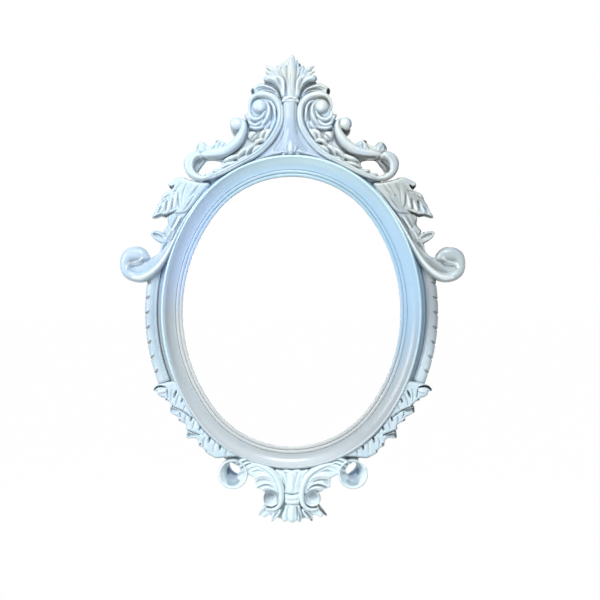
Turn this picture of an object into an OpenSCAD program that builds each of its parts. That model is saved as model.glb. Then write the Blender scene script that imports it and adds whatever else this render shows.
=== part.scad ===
// Oval photo prop frame: an open oval moulding with applied scroll ornament and two ring hangers.
// Lying on the bench, x is right, y is up the frame and z is toward the viewer; stand() lifts it.

/* [Opening] */
// Width of the sight opening
sight_w = 385; // [370:1:400]
// Height of the sight opening
sight_h = 477; // [462:1:492]

/* [Moulding] */
// Width of each of the two sight beads
bead_w = 6.3; // [5.5:0.1:7]
// Height of the sight beads above the rail
bead_h = 7; // [6:0.5:9]
// Width of the cove
cove_w = 19.5; // [18:0.5:21]
// Height of the outer lip above the rail
lip_h = 20; // [17:0.5:22]
// Width of the outer lip
lip_w = 4.5; // [4:0.5:5.5]
// Width of the ribbed side bands
band_w = 21.5; // [19:0.5:22]
// Height of the side bands above the rail
band_h = 11; // [9:0.5:13]

/* [Rail] */
// Thickness of the back rail
rail_t = 14; // [12:0.5:18]
// Width of the rebate behind the sight beads
rebate_w = 8; // [6:0.5:9]
// Width of the rail's shelf outside the lip
shelf_w = 19.5; // [18:0.5:21]

/* [Ornament] */
// Thickness of the crest and base backing plates
plate_t = 6; // [5:0.5:8]
// Height of the scrolls above what they lie on
scroll_h = 17; // [14:0.5:20]
// Height of the leaves above what they lie on
leaf_h = 15; // [12:0.5:18]

/* [Hangers] */
// Radius of the hanger ring's wire
wire_r = 1.3; // [1.1:0.1:1.5]
// Width of the hanger strap
strap_w = 12; // [10:0.5:13]
// Length of the hanger strap below its loop
strap_l = 14; // [12:0.5:15]
// Sheet thickness of the hanger strap
strap_t = 1.2; // [1:0.1:1.4]
// Angle of the hangers above the middle of the sides
hang_angle = 22; // [18:1:26]
// Depth of the pockets that hold the hangers
pocket_d = 5; // [4.8:0.1:6]

/* [Hidden] */
$fn = 96;
paint = [0.9, 0.94, 0.98];
steel = [0.7, 0.71, 0.73];

// The oval is drawn from four arcs, whose centres lie on triangles with sides 3, 4 and 5.
half_w = sight_w / 2;
half_h = sight_h / 2;
oval_step = (half_h - half_w) / 2;
side_shift = 4 * oval_step;
end_shift = 3 * oval_step;
side_r = half_w + side_shift;
end_r = half_h - end_shift;
join_slope = 3 / 5;
join_angle = asin(join_slope);
lap = 2;

// Offsets from the sight edge
cove_start = 2 * bead_w;
lip_start = cove_start + cove_w;
mould_w = lip_start + lip_w;
rail_w = mould_w + shelf_w;
band_gap = 9;
band_start = mould_w + band_gap;
seam = 0.3;

// The ornament drawing: points are shares of one drawing unit, counted from the
// upper left corner of the sheet, and its oval is the outer edge of the lip.
mid_share = 2.915;
centre_share = 3.116;
lip_x_share = 1.306;
lip_y_share = 1.568;
unit_x = (half_w + mould_w) / lip_x_share;
unit_y = (half_h + mould_w) / lip_y_share;
unit = (unit_x + unit_y) / 2;
plate_top = rail_t + plate_t;

// Section of a relief, from one edge to the other
across_shares = [0, 0, 0.1, 0.28, 0.5, 0.72, 0.9, 1, 1];
round_shares = [0, 0.45, 0.75, 0.95, 1, 0.95, 0.75, 0.45, 0];
veined_shares = [0, 0.4, 0.72, 1, 0.8, 1, 0.72, 0.4, 0];
cupped_shares = [0, 0.85, 1, 0.85, 0.7, 0.85, 1, 0.85, 0];

function at(s) = [(s[0] - mid_share) * unit_x, (centre_share - s[1]) * unit_y];
function outline(list) = [for (s = list) at(s)];
function other_side(list) = [for (i = [len(list) - 1 : -1 : 0]) [-list[i][0], list[i][1]]];
function both_sides(list) = concat(outline(list), other_side(outline(list)));
function blend(a, b, t) = a + (b - a) * t;
function middle(r) = at([(r[0] + r[2]) / 2, (r[1] + r[3]) / 2]);
function side_of(a, b) = a[0] * b[1] - a[1] * b[0];
function sum(list, i = 0) = i < len(list) ? list[i] + sum(list, i + 1) : 0;
function winding(rows) = sum([for (i = [0 : len(rows) - 2])
  side_of(at([rows[i][2], rows[i][3]]) - at([rows[i][0], rows[i][1]]),
    middle(rows[i + 1]) - middle(rows[i]))]);

// A smooth curve through the rows of a table
function pick(list, i) = list[max(0, min(len(list) - 1, i))];
function curve(a, b, c, d, t) = b + (c - a) * t / 2 + (2 * a - 5 * b + 4 * c - d) * t * t / 2
  + (3 * b - a - 3 * c + d) * t * t * t / 2;
function dense(list, n) = concat([for (i = [0 : len(list) - 2]) for (j = [0 : n - 1])
  curve(pick(list, i - 1), list[i], list[i + 1], pick(list, i + 2), j / n)],
  [list[len(list) - 1]]);

// Rows of a strip from its centre line, given as x, y, half width and height
function heading(p, i) = [pick(p, i + 1)[0] - pick(p, i - 1)[0], pick(p, i + 1)[1] - pick(p, i - 1)[1]];
function strip(p) = [for (i = [0 : len(p) - 1])
  let (d = heading(p, i), n = [-d[1], d[0]] / norm(d) * p[i][2])
  [p[i][0] + n[0], p[i][1] + n[1], p[i][0] - n[0], p[i][1] - n[1], p[i][3]]];

// Rows of a shape that is the same left and right, given as y, half width and height
function mirrored(list) = [for (r = list) [mid_share - r[1], r[0], mid_share + r[1], r[0], r[2]]];

module stand() {
  rotate([90, 0, 0]) children();
}

// A relief with a flat back between two edges, row by row
module relief(rows, base, high, profile) {
  steps = len(across_shares);
  last = len(rows) - 1;
  turned = winding(rows) < 0;
  points = [for (r = rows) for (k = [0 : steps - 1])
    let (t = turned ? 1 - across_shares[k] : across_shares[k],
      p = at([blend(r[0], r[2], t), blend(r[1], r[3], t)]))
    [p[0], p[1], base + profile[k] * high * r[4]]];
  walls = [for (i = [0 : last - 1]) for (k = [0 : steps - 1])
    let (a = i * steps + k, d = i * steps + (k + 1) % steps, b = a + steps, c = d + steps)
    each [[a, b, c], [a, c, d]]];
  half = (steps - 1) / 2;
  start = concat([for (k = [1 : half - 1]) [0, k, k + 1]], [[0, half, steps - 1]],
    [for (k = [half : steps - 3]) [k, k + 1, steps - 1]]);
  end = [for (f = start) [for (j = [2 : -1 : 0]) f[j] + last * steps]];
  polyhedron(points = points, faces = concat(start, walls, end));
}

// A domed boss of turned shape
dome_steps = 7;
module dome(place, r, foot, rise) {
  p = at(place);
  arc = [for (i = [0 : dome_steps]) [r * cos(90 * i / dome_steps), foot + rise * sin(90 * i / dome_steps)]];
  translate([p[0], p[1], plate_top])
    rotate_extrude() polygon(concat([[0, 0], [r, 0]], [for (a = arc) [max(0, a[0]), a[1]]]));
}

// A ring that follows the oval; its profile is given as offset from the sight edge and height
module oval_ring(profile) {
  for (mx = [0, 1]) for (my = [0, 1]) mirror([mx, 0, 0]) mirror([0, my, 0]) {
    translate([-side_shift, 0, 0]) rotate([0, 0, -join_angle])
      rotate_extrude(angle = join_angle + lap) polygon([for (p = profile) [side_r + p[0], p[1]]]);
    translate([0, end_shift, 0]) rotate([0, 0, join_angle])
      rotate_extrude(angle = 90 - join_angle + lap) polygon([for (p = profile) [end_r + p[0], p[1]]]);
  }
}

// The flat oval at an offset from the sight edge
module oval_face(off) {
  level = end_shift + (end_r + off) * join_slope;
  wide = sight_w + 4 * off;
  intersection() {
    translate([-side_shift, 0]) circle(side_r + off);
    translate([side_shift, 0]) circle(side_r + off);
    translate([-wide / 2, -level]) square([wide, 2 * level]);
  }
  for (m = [0, 1]) mirror([0, m]) intersection() {
    translate([0, end_shift]) circle(end_r + off);
    translate([-wide / 2, level]) square([wide, half_h]);
  }
}

// Moulding
bead_steps = 6;
function bead(start) = [for (i = [0 : bead_steps])
  [start + bead_w / 2 - bead_w / 2 * cos(180 * i / bead_steps),
    rail_t + bead_h / 2 + bead_h / 2 * sin(180 * i / bead_steps)]];

module sight_bead() {
  color(paint) stand() oval_ring(concat([[0, rail_t]], bead(0), bead(bead_w), [[cove_start, rail_t]]));
}

// The cove's hollow rises from the beads to the lip.
cove_rise_shares = [0.34, 0.35, 0.39, 0.46, 0.56, 0.7, 0.88];
lip_shares = [[0.05, 0.97], [0.35, 1], [0.7, 0.96], [1, 0.8]];
cove_steps = len(cove_rise_shares) - 1;

module cove_moulding() {
  hollow = [for (i = [0 : cove_steps])
    [cove_start + cove_w * i / cove_steps, rail_t + lip_h * cove_rise_shares[i]]];
  lip = [for (s = lip_shares) [lip_start + lip_w * s[0], rail_t + lip_h * s[1]]];
  color(paint) stand()
    oval_ring(concat([[cove_start, rail_t]], hollow, lip, [[mould_w, rail_t]]));
}

// Back rail with the glass rebate, the crest openings and the hanger pockets
hole_shares = [[3.635, 1.62], [3.755, 1.615], [3.8, 1.66], [3.835, 1.715], [3.815, 1.752],
  [3.725, 1.748], [3.7, 1.705], [3.625, 1.67]];

strap_drop = side_r + (rebate_w + rail_w) / 2;
hang_x = strap_drop * cos(hang_angle) - side_shift;
hang_y = strap_drop * sin(hang_angle);
fit = 0.05;
loop_r = wire_r + fit + strap_t;
loop_lift = 0.1;
loop_z = pocket_d - loop_lift - loop_r;
ring_bend = 2.8;
ring_play = 0.4;
ring_half = strap_w / 2 + ring_bend + ring_play;
ring_leg = 3.5;
ring_reach = ring_bend + ring_leg + ring_half + wire_r;
pocket_edge = 1.5;
pocket_rise = 8;
screw_r = 2;
screw_l = 8;
head_r = 3.4;
head_h = 1.5;
screw_drop = 8.5;
slot_w = 1;
slot_h = 0.7;

module pocket() {
  wide = 2 * (ring_half + wire_r + pocket_edge);
  tall = ring_reach + pocket_edge + pocket_rise;
  translate([hang_x - wide / 2, hang_y - ring_reach - pocket_edge, -pocket_d])
    cube([wide, tall, 2 * pocket_d]);
  translate([hang_x, hang_y - screw_drop, 0]) cylinder(r = screw_r + fit, h = pocket_d + screw_l);
}

module back_rail() {
  color(paint) stand() difference() {
    linear_extrude(rail_t) difference() {
      oval_face(rail_w);
      oval_face(rebate_w);
    }
    for (m = [0, 1]) mirror([m, 0, 0]) {
      translate([0, 0, -rail_t]) linear_extrude(3 * rail_t) polygon(outline(hole_shares));
      pocket();
    }
  }
}

// Side bands with slanting ribs cut in their outer edge
band_top_share = 2.825;
band_low_share = 3.82;
rib_first = 4.2;
rib_step = 4.35;
rib_count = 6;
rib_slant = 24;
rib_w = 2.2;
rib_h = 3;
rib_reach = 9;
band_shares = [[0, 0], [1, 0], [1, 0.42], [0.93, 0.7], [0.8, 0.9], [0.6, 1], [0.4, 0.95],
  [0.2, 0.78], [0.06, 0.55], [0, 0.4]];

module side_band_right() {
  edge = side_r + band_start + band_w;
  band_top = asin((centre_share - band_top_share) * unit_y / edge);
  band_low = asin((band_low_share - centre_share) * unit_y / edge);
  color(paint) stand() translate([-side_shift, 0, rail_t]) difference() {
    rotate([0, 0, -band_low]) rotate_extrude(angle = band_low + band_top)
      polygon([for (s = band_shares) [side_r + band_start + band_w * s[0], band_h * s[1]]]);
    for (i = [0 : rib_count - 1]) rotate([0, 0, rib_first - i * rib_step])
      translate([edge - rib_reach, 0, band_h - rib_h]) rotate([0, 0, -rib_slant])
        translate([0, -rib_w / 2, 0]) cube([2 * rib_reach, rib_w, 2 * rib_h]);
  }
}

module side_band_left() {
  mirror([1, 0, 0]) side_band_right();
}

// Crest
crest_plate_shares = [[2.96, 0.63], [3, 0.68], [3.09, 0.685], [3.13, 0.74], [3.15, 0.8],
  [3.21, 0.85], [3.27, 0.905], [3.315, 0.96], [3.34, 1.04], [3.345, 1.12], [3.37, 1.14],
  [3.41, 1.19], [3.46, 1.185], [3.515, 1.22], [3.515, 1.28], [3.47, 1.32], [3.45, 1.36],
  [3.5, 1.415], [3.56, 1.425], [3.62, 1.425], [3.7, 1.44], [3.8, 1.445], [3.86, 1.495],
  [3.92, 1.515], [3.975, 1.56], [3.99, 1.63], [3.965, 1.705], [3.91, 1.765], [3.84, 1.803],
  [3.66, 1.813], [3.52, 1.78], [2.96, 1.65]];

module crest_plate() {
  color(paint) stand() translate([0, 0, rail_t]) linear_extrude(plate_t) difference() {
    polygon(both_sides(crest_plate_shares));
    oval_face(mould_w + seam);
    for (m = [0, 1]) mirror([m, 0]) polygon(outline(hole_shares));
  }
}

palmette_shares = [[0.95, 0.04, 0.7], [0.88, 0.045, 0.8], [0.8, 0.05, 0.9], [0.745, 0.075, 1],
  [0.705, 0.07, 1], [0.65, 0.098, 0.9], [0.635, 0.07, 1], [0.605, 0.072, 0.9], [0.575, 0.04, 0.8],
  [0.548, 0.01, 0.5]];

module crest_palmette() {
  color(paint) stand() relief(mirrored(palmette_shares), plate_top, leaf_h, veined_shares);
}

collar_shares = [[0.963, 0.036, 0.8], [0.98, 0.052, 1], [1, 0.054, 1], [1.018, 0.05, 0.9]];

module crest_collar() {
  color(paint) stand() relief(mirrored(collar_shares), plate_top, scroll_h, round_shares);
}

neck_shares = [[1.03, 0.05, 0.9], [1.1, 0.05, 0.95], [1.18, 0.052, 0.95], [1.24, 0.062, 0.9],
  [1.3, 0.078, 0.85], [1.36, 0.103, 0.8], [1.42, 0.137, 0.75], [1.47, 0.176, 0.7],
  [1.51, 0.225, 0.65], [1.535, 0.252, 0.55]];
drop_shares = [[1.415, 0.02, 0.8], [1.44, 0.045, 1], [1.47, 0.056, 1.1], [1.5, 0.052, 1.1],
  [1.52, 0.03, 0.9], [1.532, 0.012, 0.7]];
drop_gap_share = 0.005;
drop_foot_share = 1.58;

module crest_neck() {
  edge = [for (s = drop_shares) [mid_share + s[1] + drop_gap_share, s[0]]];
  first = edge[0];
  last = edge[len(edge) - 1];
  pit = concat([[first[0], first[1] - drop_gap_share]], edge, [[last[0], drop_foot_share]]);
  color(paint) stand() difference() {
    relief(mirrored(neck_shares), plate_top, scroll_h, round_shares);
    linear_extrude(plate_top + 2 * scroll_h) polygon(both_sides(pit));
  }
}

module crest_drop() {
  color(paint) stand() relief(mirrored(drop_shares), plate_top, scroll_h, round_shares);
}

front_leaf_shares = [[2.98, 0.94, 3.015, 0.91, 0.6], [2.98, 0.86, 3.04, 0.865, 0.8],
  [2.985, 0.8, 3.09, 0.825, 1], [3, 0.75, 3.155, 0.795, 1.1], [3.03, 0.715, 3.165, 0.76, 1.1],
  [3.055, 0.69, 3.135, 0.72, 0.9], [3.045, 0.655, 3.125, 0.66, 0.7], [3.06, 0.642, 3.1, 0.648, 0.5]];

module crest_leaf_right() {
  color(paint) stand() relief(front_leaf_shares, plate_top, leaf_h, cupped_shares);
}

module crest_leaf_left() {
  mirror([1, 0, 0]) crest_leaf_right();
}

side_leaf_shares = [[3.03, 0.908, 3.043, 0.916, 0.5], [3.06, 0.878, 3.083, 0.893, 0.7],
  [3.105, 0.848, 3.135, 0.88, 0.9], [3.15, 0.82, 3.2, 0.876, 1], [3.2, 0.83, 3.25, 0.895, 1],
  [3.255, 0.86, 3.28, 0.91, 0.8], [3.28, 0.878, 3.295, 0.9, 0.6]];

module crest_side_leaf_right() {
  color(paint) stand() relief(side_leaf_shares, plate_top, leaf_h, cupped_shares);
}

module crest_side_leaf_left() {
  mirror([1, 0, 0]) crest_side_leaf_right();
}

scroll_shares = [[3.315, 1.1, 0.015, 0.8], [3.315, 1.04, 0.018, 0.9], [3.28, 0.965, 0.02, 1],
  [3.205, 0.915, 0.021, 1], [3.13, 0.917, 0.022, 1], [3.07, 0.945, 0.022, 1], [3.025, 0.985, 0.022, 1],
  [3, 1.04, 0.022, 1], [2.995, 1.11, 0.022, 1], [2.996, 1.18, 0.022, 1], [3.01, 1.26, 0.022, 1],
  [3.04, 1.34, 0.022, 1], [3.09, 1.42, 0.022, 1], [3.16, 1.49, 0.022, 1], [3.24, 1.55, 0.022, 1],
  [3.36, 1.605, 0.021, 1], [3.5, 1.668, 0.021, 1], [3.62, 1.732, 0.021, 1], [3.72, 1.777, 0.02, 1],
  [3.79, 1.785, 0.018, 1]];

module crest_scroll_right() {
  color(paint) stand() relief(strip(dense(scroll_shares, 3)), plate_top, scroll_h, round_shares);
}

module crest_scroll_left() {
  mirror([1, 0, 0]) crest_scroll_right();
}

cabochon_at = [3.215, 1.065];
cabochon_share = 0.074;

module crest_cabochon_right() {
  r = cabochon_share * unit;
  color(paint) stand() dome(cabochon_at, r, r / 2, r);
}

module crest_cabochon_left() {
  mirror([1, 0, 0]) crest_cabochon_right();
}

acanthus_shares = [[3.05, 1, 3.09, 1.005, 0.5], [3.04, 1.08, 3.11, 1.065, 0.8],
  [3.05, 1.15, 3.122, 1.11, 0.9], [3.065, 1.21, 3.15, 1.148, 1], [3.12, 1.25, 3.185, 1.166, 1],
  [3.18, 1.3, 3.225, 1.17, 1.05], [3.25, 1.295, 3.27, 1.155, 1.05], [3.31, 1.245, 3.305, 1.14, 0.9],
  [3.345, 1.19, 3.34, 1.135, 0.7], [3.362, 1.16, 3.36, 1.135, 0.5]];

module crest_acanthus_right() {
  color(paint) stand() relief(dense(acanthus_shares, 2), plate_top, leaf_h, veined_shares);
}

module crest_acanthus_left() {
  mirror([1, 0, 0]) crest_acanthus_right();
}

chain_shares = [[3.065, 1.27, 3.055, 1.305, 0.5], [3.13, 1.31, 3.085, 1.36, 0.8],
  [3.15, 1.36, 3.115, 1.39, 0.6], [3.215, 1.39, 3.165, 1.44, 0.9], [3.245, 1.435, 3.205, 1.475, 0.6],
  [3.32, 1.45, 3.265, 1.515, 0.9], [3.345, 1.49, 3.315, 1.54, 0.6], [3.43, 1.525, 3.38, 1.578, 0.9],
  [3.46, 1.56, 3.43, 1.603, 0.6], [3.545, 1.585, 3.5, 1.638, 0.9], [3.605, 1.615, 3.57, 1.67, 0.5]];
berry_at = [3.29, 1.36];
berry_share = 0.046;

module crest_chain_right() {
  color(paint) stand() {
    relief(chain_shares, plate_top, leaf_h, veined_shares);
    dome(berry_at, berry_share * unit, scroll_h / 3, berry_share * unit);
  }
}

module crest_chain_left() {
  mirror([1, 0, 0]) crest_chain_right();
}

branch_shares = [[3.36, 1.208, 3.388, 1.203, 0.7], [3.348, 1.27, 3.39, 1.26, 0.9],
  [3.36, 1.34, 3.415, 1.32, 1], [3.39, 1.405, 3.45, 1.375, 1.05], [3.44, 1.47, 3.5, 1.425, 1.1],
  [3.51, 1.525, 3.57, 1.475, 1.1], [3.61, 1.558, 3.64, 1.505, 1.1], [3.71, 1.57, 3.72, 1.52, 1],
  [3.805, 1.56, 3.795, 1.518, 0.8]];
ball_at = [3.46, 1.245];
ball_share = 0.056;

module crest_branch_right() {
  color(paint) stand() {
    relief(dense(branch_shares, 2), plate_top, scroll_h, round_shares);
    dome(ball_at, ball_share * unit, scroll_h / 3, ball_share * unit);
  }
}

module crest_branch_left() {
  mirror([1, 0, 0]) crest_branch_right();
}

frill_shares = [[3.53, 1.428, 3.53, 1.438, 0.5], [3.57, 1.425, 3.575, 1.463, 0.8],
  [3.625, 1.398, 3.62, 1.486, 1], [3.67, 1.435, 3.67, 1.498, 0.8], [3.71, 1.415, 3.715, 1.506, 0.9],
  [3.755, 1.45, 3.76, 1.506, 0.7], [3.805, 1.415, 3.8, 1.503, 0.8], [3.85, 1.46, 3.835, 1.493, 0.5]];

module crest_frill_right() {
  color(paint) stand() relief(frill_shares, plate_top, leaf_h, cupped_shares);
}

module crest_frill_left() {
  mirror([1, 0, 0]) crest_frill_right();
}

hook_shares = [[3.808, 1.802, 3.808, 1.768, 1], [3.88, 1.79, 3.86, 1.74, 1.05],
  [3.94, 1.745, 3.885, 1.705, 1.1], [3.98, 1.675, 3.895, 1.665, 1.15], [3.995, 1.615, 3.89, 1.63, 1.2],
  [3.97, 1.555, 3.87, 1.61, 1.2], [3.915, 1.515, 3.855, 1.595, 1.1], [3.865, 1.518, 3.838, 1.57, 0.9]];

module crest_hook_right() {
  color(paint) stand() relief(dense(hook_shares, 2), plate_top, scroll_h, cupped_shares);
}

module crest_hook_left() {
  mirror([1, 0, 0]) crest_hook_right();
}

// Shoulders and sides
shoulder_shares = [[3.88, 1.83, 3.72, 1.836, 0.8], [4.04, 1.79, 3.755, 1.88, 1],
  [4.165, 1.825, 3.805, 1.92, 1], [4.13, 1.89, 3.865, 1.943, 1.1], [4.23, 1.95, 3.905, 1.98, 1.2],
  [4.21, 2.005, 3.93, 2.015, 1.1], [4.295, 2.06, 3.96, 2.045, 1.2], [4.265, 2.105, 3.99, 2.08, 1.1],
  [4.335, 2.165, 4.02, 2.125, 1.1], [4.225, 2.165, 4.045, 2.16, 1], [4.17, 2.195, 4.065, 2.195, 0.9],
  [4.17, 2.25, 4.09, 2.24, 0.9], [4.22, 2.3, 4.112, 2.28, 0.9], [4.35, 2.315, 4.13, 2.32, 0.9],
  [4.315, 2.385, 4.15, 2.36, 0.8], [4.25, 2.42, 4.17, 2.405, 0.6]];

module shoulder_leaf_right() {
  color(paint) stand() relief(shoulder_shares, rail_t, plate_t + leaf_h, veined_shares);
}

module shoulder_leaf_left() {
  mirror([1, 0, 0]) shoulder_leaf_right();
}

volute_shares = [[3.84, 1.97, 0.016, 0.7], [3.89, 2.023, 0.02, 0.8], [3.94, 2.082, 0.022, 0.85],
  [4.006, 2.18, 0.024, 0.9], [4.063, 2.285, 0.026, 0.9], [4.102, 2.365, 0.028, 0.9],
  [4.133, 2.445, 0.031, 0.95], [4.182, 2.56, 0.036, 1], [4.245, 2.66, 0.042, 1], [4.33, 2.73, 0.05, 1],
  [4.43, 2.77, 0.055, 1], [4.53, 2.762, 0.055, 1], [4.598, 2.705, 0.055, 1], [4.612, 2.625, 0.053, 1],
  [4.575, 2.555, 0.057, 1], [4.505, 2.525, 0.058, 1], [4.445, 2.545, 0.052, 0.9],
  [4.436, 2.6, 0.042, 0.7], [4.46, 2.645, 0.042, 0.5], [4.5, 2.665, 0.038, 0.4],
  [4.53, 2.665, 0.03, 0.35]];

module side_volute_right() {
  color(paint) stand() relief(strip(dense(volute_shares, 3)), rail_t, plate_t + scroll_h, round_shares);
}

module side_volute_left() {
  mirror([1, 0, 0]) side_volute_right();
}

// Lower sprays
spray_upper_shares = [[4.185, 3.86, 4.095, 3.865, 0.7], [4.26, 3.853, 4.09, 3.89, 0.9],
  [4.325, 3.89, 4.075, 3.92, 1], [4.24, 3.92, 4.06, 3.95, 1], [4.19, 3.96, 4.045, 3.975, 0.9],
  [4.18, 3.995, 4.03, 4.002, 0.8], [4.12, 4.015, 4.02, 4.023, 0.6]];
spray_middle_shares = [[4.105, 4.04, 3.995, 4.048, 0.7], [4.145, 4.1, 3.965, 4.09, 0.95],
  [4.07, 4.125, 3.935, 4.13, 1], [4.035, 4.17, 3.905, 4.17, 0.9], [4.043, 4.205, 3.875, 4.208, 0.8],
  [3.97, 4.23, 3.855, 4.235, 0.6]];
spray_lower_shares = [[3.96, 4.255, 3.835, 4.26, 0.7], [3.968, 4.28, 3.815, 4.287, 0.9],
  [3.92, 4.31, 3.795, 4.315, 0.9], [3.97, 4.36, 3.77, 4.345, 1], [3.88, 4.39, 3.735, 4.378, 1],
  [3.835, 4.415, 3.705, 4.405, 0.9], [3.835, 4.455, 3.665, 4.432, 0.9], [3.77, 4.475, 3.625, 4.458, 0.8],
  [3.77, 4.52, 3.585, 4.485, 0.8], [3.71, 4.54, 3.555, 4.505, 0.6]];

module spray_upper_right() {
  color(paint) stand() relief(spray_upper_shares, rail_t, plate_t + leaf_h, cupped_shares);
}

module spray_upper_left() {
  mirror([1, 0, 0]) spray_upper_right();
}

module spray_middle_right() {
  color(paint) stand() relief(spray_middle_shares, rail_t, plate_t + leaf_h, cupped_shares);
}

module spray_middle_left() {
  mirror([1, 0, 0]) spray_middle_right();
}

module spray_lower_right() {
  color(paint) stand() relief(spray_lower_shares, rail_t, plate_t + leaf_h, cupped_shares);
}

module spray_lower_left() {
  mirror([1, 0, 0]) spray_lower_right();
}

// Lower loops: dished discs with a small off-centre eye
loop_at = [3.54, 4.73];
loop_reach_share = 0.152;
eye_at = [3.51, 4.685];
eye_share = 0.024;
dish_shares = [[0, 0], [1, 0], [1, 0.72], [0.98, 0.9], [0.93, 1], [0.86, 0.96], [0.76, 0.74],
  [0.62, 0.5], [0.44, 0.36], [0.22, 0.3], [0, 0.28]];

module lower_loop_right() {
  p = at(loop_at);
  e = at(eye_at);
  high = plate_t + scroll_h;
  color(paint) stand() difference() {
    translate([p[0], p[1], rail_t]) rotate_extrude()
      polygon([for (s = dish_shares) [loop_reach_share * unit * s[0], high * s[1]]]);
    translate([e[0], e[1], 0]) cylinder(r = eye_share * unit, h = rail_t + 2 * high);
  }
}

module lower_loop_left() {
  mirror([1, 0, 0]) lower_loop_right();
}

// Base
base_plate_shares = [[2.97, 4.6], [3.3, 4.56], [3.385, 4.618], [3.39, 4.65], [3.365, 4.7],
  [3.31, 4.775], [3.27, 4.84], [3.22, 4.895], [3.19, 4.93], [3.195, 5], [3.175, 5.055],
  [3.21, 5.095], [3.23, 5.125], [3.18, 5.15], [3.08, 5.19], [2.97, 5.21]];

module base_plate() {
  color(paint) stand() translate([0, 0, rail_t]) linear_extrude(plate_t) difference() {
    polygon(both_sides(base_plate_shares));
    oval_face(mould_w + seam);
  }
}

base_scroll_shares = [[3.39, 4.63, 0.015, 0.8], [3.3, 4.655, 0.02, 0.9], [3.18, 4.69, 0.024, 1],
  [3.1, 4.74, 0.026, 1], [3.048, 4.81, 0.026, 1], [3.02, 4.89, 0.025, 1], [3.013, 4.98, 0.024, 1],
  [3.045, 5.05, 0.022, 1], [3.11, 5.085, 0.019, 0.9], [3.18, 5.08, 0.014, 0.7]];

module base_scroll_right() {
  color(paint) stand() relief(strip(dense(base_scroll_shares, 3)), plate_top, scroll_h, round_shares);
}

module base_scroll_left() {
  mirror([1, 0, 0]) base_scroll_right();
}

frond_shares = [[3.375, 4.72, 3.35, 4.692, 0.6], [3.34, 4.745, 3.28, 4.703, 0.8],
  [3.31, 4.795, 3.215, 4.732, 1], [3.265, 4.785, 3.17, 4.76, 0.8], [3.3, 4.84, 3.14, 4.79, 1],
  [3.23, 4.835, 3.112, 4.818, 0.8], [3.255, 4.885, 3.094, 4.85, 1], [3.185, 4.87, 3.082, 4.876, 0.8],
  [3.215, 4.91, 3.074, 4.9, 0.9], [3.14, 4.903, 3.072, 4.916, 0.6]];

module base_frond_right() {
  color(paint) stand() relief(frond_shares, plate_top, leaf_h, cupped_shares);
}

module base_frond_left() {
  mirror([1, 0, 0]) base_frond_right();
}

base_cabochon_at = [3.13, 4.99];
base_cabochon_share = 0.069;

module base_cabochon_right() {
  r = base_cabochon_share * unit;
  color(paint) stand() dome(base_cabochon_at, r, r / 2, r);
}

module base_cabochon_left() {
  mirror([1, 0, 0]) base_cabochon_right();
}

vase_shares = [[4.703, 0.125, 0.8], [4.74, 0.115, 1], [4.78, 0.098, 1], [4.83, 0.08, 1],
  [4.88, 0.068, 0.95], [4.92, 0.062, 0.9]];
base_collar_shares = [[4.933, 0.056, 0.8], [4.96, 0.062, 1], [5.005, 0.062, 1], [5.03, 0.056, 0.8]];
base_leaf_shares = [[5.043, 0.045, 0.8], [5.08, 0.052, 1], [5.13, 0.062, 1], [5.18, 0.072, 0.9],
  [5.222, 0.074, 0.7], [5.23, 0.04, 0.6], [5.24, 0.014, 0.4]];

module base_vase() {
  color(paint) stand() relief(mirrored(vase_shares), plate_top, scroll_h, veined_shares);
}

module base_collar() {
  color(paint) stand() relief(mirrored(base_collar_shares), plate_top, scroll_h, round_shares);
}

module base_palmette() {
  color(paint) stand() relief(mirrored(base_leaf_shares), plate_top, leaf_h, veined_shares);
}

foot_leaf_shares = [[3.045, 5.11, 3.003, 5.1, 0.6], [3.1, 5.126, 3.01, 5.14, 0.9],
  [3.16, 5.14, 3.035, 5.175, 1], [3.21, 5.17, 3.07, 5.205, 0.8], [3.155, 5.2, 3.1, 5.218, 0.5]];
foot_tip_shares = [[3.165, 5.115, 3.208, 5.095, 0.8], [3.2, 5.135, 3.23, 5.115, 0.7],
  [3.25, 5.165, 3.262, 5.155, 0.4]];

module base_leaf_right() {
  color(paint) stand() {
    relief(foot_leaf_shares, plate_top, leaf_h, veined_shares);
    relief(foot_tip_shares, plate_top, leaf_h, cupped_shares);
  }
}

module base_leaf_left() {
  mirror([1, 0, 0]) base_leaf_right();
}

// Hangers, drawn on the right and mirrored
module hanger_strap_right() {
  color(steel) stand() translate([hang_x, hang_y, 0]) difference() {
    union() {
      translate([0, 0, loop_z]) rotate([0, 90, 0]) cylinder(r = loop_r, h = strap_w, center = true);
      translate([-strap_w / 2, -strap_l, pocket_d - strap_t]) cube([strap_w, strap_l, strap_t]);
    }
    translate([0, 0, loop_z]) rotate([0, 90, 0]) cylinder(r = wire_r + fit, h = 2 * strap_w, center = true);
    translate([0, -screw_drop, 0]) cylinder(r = screw_r + fit, h = 2 * pocket_d);
  }
}

module hanger_strap_left() {
  mirror([1, 0, 0]) hanger_strap_right();
}

module wire_bend(turn, bend_r) {
  rotate_extrude(angle = turn) translate([bend_r, 0]) circle(wire_r);
}

module hanger_ring_right() {
  straight = ring_half - ring_bend;
  color(steel) stand() translate([hang_x, hang_y, loop_z]) {
    rotate([0, 90, 0]) cylinder(r = wire_r, h = 2 * straight, center = true);
    for (m = [0, 1]) mirror([m, 0, 0]) {
      translate([straight, -ring_bend, 0]) wire_bend(90, ring_bend);
      translate([ring_half, -ring_bend, 0]) rotate([90, 0, 0]) cylinder(r = wire_r, h = ring_leg);
    }
    translate([0, -ring_bend - ring_leg, 0]) rotate([0, 0, 180]) wire_bend(180, ring_half);
  }
}

module hanger_ring_left() {
  mirror([1, 0, 0]) hanger_ring_right();
}

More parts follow.
